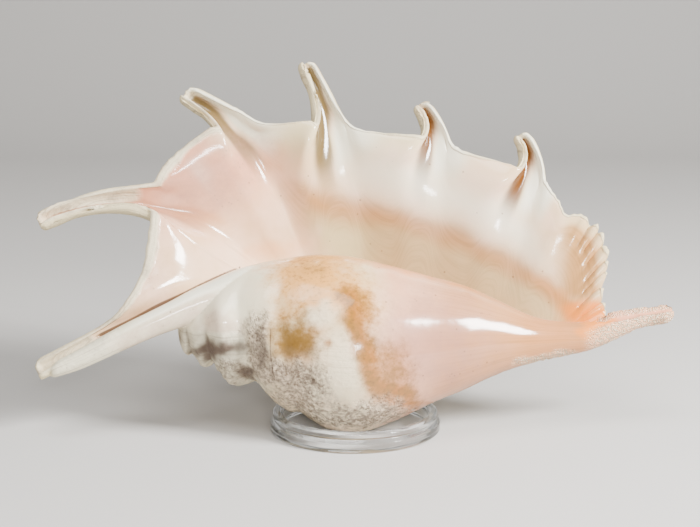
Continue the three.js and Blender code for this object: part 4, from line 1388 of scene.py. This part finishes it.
def ring_tree():
    """Rounds the corners of a section and sweeps it round a circle."""
    inputs = [
        ("Radius", "NodeSocketFloat"), ("Corner radius", "NodeSocketFloat"), ("Segments", "NodeSocketInt"),
        ("Middle", "NodeSocketVector"), ("Material", "NodeSocketMaterial"),
    ]
    tree, source, target = group_tree("Swept ring", inputs)
    given = source.outputs
    section = add(tree, "GeometryNodeMeshToCurve", {0: given["Geometry"]})
    rounded = add(
        tree, "GeometryNodeFilletCurve",
        {"Curve": section.outputs[0], "Radius": given["Corner radius"]}, mode="POLY",
    )
    rounded.inputs["Count"].default_value = 4
    rounded.inputs["Limit Radius"].default_value = True
    circle = add(
        tree, "GeometryNodeCurvePrimitiveCircle",
        {"Resolution": given["Segments"], "Radius": given["Radius"]}, mode="RADIUS",
    )
    swept = add(
        tree, "GeometryNodeCurveToMesh", {0: circle.outputs[0], "Profile Curve": rounded.outputs[0]}
    )
    moved = add(tree, "GeometryNodeTransform", {0: swept.outputs[0], "Translation": given["Middle"]})
    finish(tree, moved, given["Material"], target)
    return tree


def hex_colour(name, description, code):
    """Colour that a user may change, given as a hex code."""
    return FloatVectorProperty(
        name=name, description=description, subtype="COLOR", size=3, min=0.0, max=1.0, default=srgb(code)
    )


def length(name, description, default):
    """Length in metres that a user may change."""
    return FloatProperty(name=name, description=description, unit="LENGTH", default=default)


class ShellSizes(bpy.types.PropertyGroup):
    """Sizes of the shell"""

    lean_back: FloatProperty(
        name="Lean back", description="How far the lip leans away from the front", subtype="ANGLE",
        default=math.radians(27),
    )
    axis_height: FloatProperty(
        name="Axis height", description="Height of the coiling axis above the ground in mm", default=46.0
    )
    callus_height: FloatProperty(
        name="Callus knob", description="Height of the knob of glaze beside the spire in mm", default=4.5
    )
    knob_height: FloatProperty(
        name="Back knobs", description="Height of the largest knobs on the back in mm", default=5.0
    )
    crimp_pitch: FloatProperty(
        name="Crimp pitch", description="Distance between teeth of the crimped margin in mm", default=7.2
    )
    crimp_height: FloatProperty(
        name="Crimp height", description="Height of the teeth of the crimped margin in mm", default=2.5
    )
    lip_edge: length("Lip edge", "Thickness of the lip at its margin", 0.0028)
    lip_root: length("Lip root", "Thickness of the lip beside the body", 0.006)
    bare_margin: length("Bare margin", "Width of the chalky margin of the lip", 0.0022)
    growth_height: length("Growth lines", "Height of the growth lines", 0.0008)
    growth_pitch: FloatProperty(
        name="Growth pitch", description="Distance between growth lines in mm", default=4.5
    )
    streak_height: length("Streaks", "Height of the streaks on the back of the lip", 0.0004)
    streak_pitch: FloatProperty(
        name="Streak pitch", description="Distance between streaks of the lip in mm", default=3.6
    )
    grain_height: length("Crust height", "Height of the grains of the canal's crust", 0.0011)
    grain_size: length("Crust grain", "Size of the grains of the canal's crust", 0.0017)
    erosion_depth: length("Erosion depth", "Depth of the eroded places", 0.0045)
    erosion_size: length("Erosion size", "Size of the eroded places", 0.007)
    seed: FloatProperty(name="Seed", description="Picks the pattern of the growth lines", default=3.0)
    detail: FloatProperty(
        name="Detail", description="Fineness of the mesh, 1 in full", default=1.0, min=0.3, max=1.2
    )


class RingSizes(bpy.types.PropertyGroup):
    """Sizes of the ring stand"""

    corner_radius: length("Corner radius", "Rounding of the ring's edges", 0.0005)
    wall: length("Wall", "Thickness of the ring's wall", 0.0064)
    segments: IntProperty(name="Segments", description="Steps round the ring", default=160, min=32)


class ShellLook(bpy.types.PropertyGroup):
    """Colours and finishes"""

    cream: hex_colour("Cream glaze", "Main colour of the glaze", "#f3d6b4")
    # also used for painted shade in the trough and between the crimps
    ivory: hex_colour("Ivory glaze", "Paler, faintly green glaze", "#d8c896")
    rose: hex_colour("Rose glaze", "Pink glaze", "#e99b78")
    mauve: hex_colour("Mauve glaze", "Greyish pink glaze", "#ae7e6e")
    peach: hex_colour("Peach glaze", "Warm ends of the glaze", "#ee8a2c")
    # also used for painted shade in the front end of the opening and between the crimps
    beige_and_painted_shade: hex_colour("Beige band", "Band of the lip and the gutters", "#b47838")
    # rust of the finger gutters, deepened as their painted shade
    gutter_rust_and_shade: hex_colour("Rust", "Deep gutters of the fingers", "#64380a")
    # also the painted shade deep in the finger hollows
    hollow_tint_and_shade: hex_colour("Hollow", "Olive brown inside of the middle fingers", "#6e5a36")
    # also painted light on the far flaps
    pale_and_painted_light: hex_colour("Pale", "Greenish white of the fold, the flaps and the knobs", "#f6f4df")
    ochre: hex_colour("Ochre", "Worn patch of the body", "#dd9c4c")
    olive: hex_colour("Olive", "Dark patch of the body", "#7b5b22")
    orange: hex_colour("Orange", "Stains", "#a4600a")
    white: hex_colour("White", "White patches", "#f4e6c4")
    chalk: hex_colour("Chalk", "Bare shell", "#e4d5b4")
    grey: hex_colour("Grey", "Weathered shell", "#8d7d6c")
    crust: hex_colour("Crust", "Grainy crust of the canal", "#ecba92")
    shade: hex_colour("Shade", "Grey-brown hollows of the spire", "#5f4f42")
    brown: hex_colour("Brown", "Dirt and small pits", "#6a4a2c")
    # also the painted shade line along the crevice above the fold
    pit: hex_colour("Pit", "Pinholes and cracks", "#3a2317")
    plastic_tint: hex_colour("Plastic tint", "Colour of clear plastic in its depth", "#dfeaf0")
    plastic_absorption: FloatProperty(
        name="Plastic absorption", description="Absorption of the clear plastic per metre", default=12.0
    )
    glaze_roughness: FloatProperty(
        name="Glaze roughness", description="Roughness of the glaze", default=0.13
    )
    chalk_roughness: FloatProperty(
        name="Chalk roughness", description="Roughness of bare shell", default=0.75
    )


class StageSetup(bpy.types.PropertyGroup):
    """Camera, lights and floor"""

    eye: FloatVectorProperty(
        name="Eye", description="Camera from the middle of the ring's foot", unit="LENGTH", size=3,
        default=(-0.00253, -0.863, 0.2686),
    )
    eye_tilt: FloatProperty(
        name="Tilt", description="How far the camera looks down", subtype="ANGLE", default=math.radians(12)
    )
    lens: FloatProperty(name="Lens", description="Focal length in mm", default=91.4)
    floor_colour: hex_colour("Floor", "Colour of the plain floor", "#c6c3bf")
    key_power: FloatProperty(
        name="Key light", description="Power of the lamp on the right", unit="POWER", default=44.0
    )
    front_power: FloatProperty(
        name="Front light", description="Power of the lamp in front", unit="POWER", default=10.0
    )
    top_power: FloatProperty(
        name="Top light", description="Power of the lamp above", unit="POWER", default=10.0
    )
    world_strength: FloatProperty(
        name="Surround", description="Brightness of the surroundings", default=0.26
    )


class OBJECT_OT_build_conch_shell(bpy.types.Operator):
    """Build the shell: body, fold and flared lip in one skin"""

    bl_idname = "object.build_conch_shell"
    bl_label = "Build shell"

    def execute(self, context):
        scene = context.scene
        sizes, look, stage = scene.conch_shell, scene.conch_look, scene.conch_stage
        detail = sizes.detail * 1.0
        parts, fields = shell_parts(sizes, detail)
        sources = [mesh_points(item.data) for item in parts]
        shell = united(parts)
        largest_skin(shell.data)
        carried = carried_fields(shell.data, sources, fields)
        seam = soften_seams(shell.data, carried, stage)
        masks, flow = shell_masks(shell.data, carried, seam, sizes, stage)
        store_masks(shell.data, masks, flow)
        applied(shell, relief_tree(), {
            "Growth height": sizes.growth_height, "Growth pitch": sizes.growth_pitch,
            "Streak height": sizes.streak_height, "Streak pitch": sizes.streak_pitch,
            "Grain height": sizes.grain_height, "Grain size": sizes.grain_size,
            "Erosion depth": sizes.erosion_depth, "Erosion size": sizes.erosion_size,
            "Seed": sizes.seed, "Material": shell_material(look),
        })
        shell.name = "conch_shell"
        shell.data.name = "conch_shell"
        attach(shell, "root")
        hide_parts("shell")
        return {"FINISHED"}


class OBJECT_OT_build_ring_stand(bpy.types.Operator):
    """Build the clear ring stand"""

    bl_idname = "object.build_ring_stand"
    bl_label = "Build ring stand"

    def execute(self, context):
        scene = context.scene
        ring, look = scene.conch_ring, scene.conch_look
        low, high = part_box("ring_stand")
        radius = (high[0] - low[0]) / 2
        height = high[2] - low[2]
        middle = ((low[0] + high[0]) / 2, (low[1] + high[1]) / 2, low[2])
        # corners of the section, outwards from the radius and up from the ground: stepped wall, open inside
        section = [
            (-0.0055, 0), (-0.001, 0), (0, 0.001), (0, 0.005), (-0.002, 0.0066), (-0.0012, 0.0076),
            (-0.0015, 0.0092), (-0.0028, height), (-0.005, height), (-0.0062, 0.009), (-0.0064, 0.0012),
        ]
        section = [(across * ring.wall / 0.0064, up) for across, up in section]
        mesh = bpy.data.meshes.new("ring_section")
        count = len(section)
        mesh.from_pydata([(a, -u, 0) for a, u in section], [(i, (i + 1) % count) for i in range(count)], [])
        item = bpy.data.objects.new("ring_stand_clear", mesh)
        scene.collection.objects.link(item)
        applied(item, ring_tree(), {
            "Radius": radius, "Corner radius": ring.corner_radius, "Segments": ring.segments,
            "Middle": middle, "Material": clear_plastic(look),
        })
        outward(item.data)
        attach(item, "root")
        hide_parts("ring_stand")
        return {"FINISHED"}


class SCENE_OT_build_conch_stage(bpy.types.Operator):
    """Build the plain floor, the soft lights and the camera"""

    bl_idname = "scene.build_conch_stage"
    bl_label = "Build stage"

    def execute(self, context):
        scene = context.scene
        stage = scene.conch_stage
        low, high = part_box("ring_stand")
        middle = Vector(((low[0] + high[0]) / 2, (low[1] + high[1]) / 2, low[2]))
        self.floor(stage, low[2])
        aim = middle + Vector((0, 0, 0.08))
        self.light(scene, "key", aim, (62, 33), 1.1, (0.3, 0.3), stage.key_power)
        self.light(scene, "front", aim, (4, 17), 1.3, (0.34, 0.1), stage.front_power)
        self.light(scene, "top", aim, (-30, 66), 1.1, (0.7, 0.5), stage.top_power)
        self.surround(scene, stage)
        view = bpy.data.cameras.new("front_view")
        view.lens = stage.lens
        view.sensor_width = 36
        view.dof.use_dof = False
        camera = bpy.data.objects.new("front_view", view)
        camera.location = middle + Vector(stage.eye)
        camera.rotation_euler = (math.radians(90) - stage.eye_tilt, 0, 0)
        scene.collection.objects.link(camera)
        scene.camera = camera
        return {"FINISHED"}

    def surround(self, scene, stage):
        """Even, faintly warm light from all round."""
        world = bpy.data.worlds.new("plain_surround")
        world.use_nodes = True
        sky = world.node_tree.nodes["Background"]
        sky.inputs["Color"].default_value = (1.0, 0.985, 0.96, 1.0)
        sky.inputs["Strength"].default_value = stage.world_strength
        scene.world = world

    def floor(self, stage, level):
        """Flat floor that rises smoothly into a plain backdrop, in matt paint."""
        rise = [(-3.0, 0.0), (0.9, 0.0)]
        rise += [(0.9 + 0.5 * math.sin(t), 0.5 - 0.5 * math.cos(t)) for t in np.linspace(0.1, 1.57, 14)]
        rise.append((1.4, 3.0))
        points = [(side, y, level + z) for y, z in rise for side in (-3.0, 3.0)]
        faces = [(2 * i, 2 * i + 1, 2 * i + 3, 2 * i + 2) for i in range(len(rise) - 1)]
        floor = new_object("stage_floor", points, faces)
        for face in floor.data.polygons:
            face.use_smooth = True
        material = bpy.data.materials.new("plain_pale_floor")
        material.use_nodes = True
        shader = material.node_tree.nodes["Principled BSDF"]
        shader.inputs["Base Color"].default_value = colour(stage.floor_colour)
        shader.inputs["Roughness"].default_value = 0.6
        floor.data.materials.append(material)
        return floor

    def light(self, scene, name, target, direction, distance, size, power):
        """Soft panel lamp; direction is its bearing to the right of the front and its height, in degrees."""
        bearing, height = (math.radians(angle) for angle in direction)
        level = distance * math.cos(height)
        up = distance * math.sin(height)
        place = target + Vector((level * math.sin(bearing), -level * math.cos(bearing), up))
        lamp = bpy.data.lights.new(name, "AREA")
        lamp.shape = "RECTANGLE"
        lamp.size, lamp.size_y = size
        lamp.energy = power
        item = bpy.data.objects.new(name, lamp)
        item.location = place
        item.rotation_euler = (target - place).to_track_quat("-Z", "Y").to_euler()
        scene.collection.objects.link(item)


class VIEW3D_PT_conch(bpy.types.Panel):
    """Sizes, colours and build buttons in the sidebar"""

    bl_label = "Spider conch shell"
    bl_idname = "VIEW3D_PT_conch"
    bl_space_type = "VIEW_3D"
    bl_region_type = "UI"
    bl_category = "Conch"

    def draw(self, context):
        scene = context.scene
        groups = (
            (scene.conch_shell, "object.build_conch_shell"),
            (scene.conch_look, None),
            (scene.conch_ring, "object.build_ring_stand"),
            (scene.conch_stage, "scene.build_conch_stage"),
        )
        for group, operator in groups:
            box = self.layout.box()
            for name in group.__annotations__:
                box.prop(group, name)
            if operator:
                box.operator(operator)


CLASSES = (
    ShellSizes, RingSizes, ShellLook, StageSetup, OBJECT_OT_build_conch_shell, OBJECT_OT_build_ring_stand,
    SCENE_OT_build_conch_stage, VIEW3D_PT_conch,
)


def register():
    for item in CLASSES:
        bpy.utils.register_class(item)
    bpy.types.Scene.conch_shell = PointerProperty(type=ShellSizes)
    bpy.types.Scene.conch_ring = PointerProperty(type=RingSizes)
    bpy.types.Scene.conch_look = PointerProperty(type=ShellLook)
    bpy.types.Scene.conch_stage = PointerProperty(type=StageSetup)


def unregister():
    for name in ("conch_shell", "conch_ring", "conch_look", "conch_stage"):
        delattr(bpy.types.Scene, name)
    for item in reversed(CLASSES):
        bpy.utils.unregister_class(item)


def main():
    """Builds the shell, the ring stand and the stage."""
    register()
    bpy.ops.object.build_conch_shell()
    bpy.ops.object.build_ring_stand()
    bpy.ops.scene.build_conch_stage()


if __name__ == "__main__":
    main()
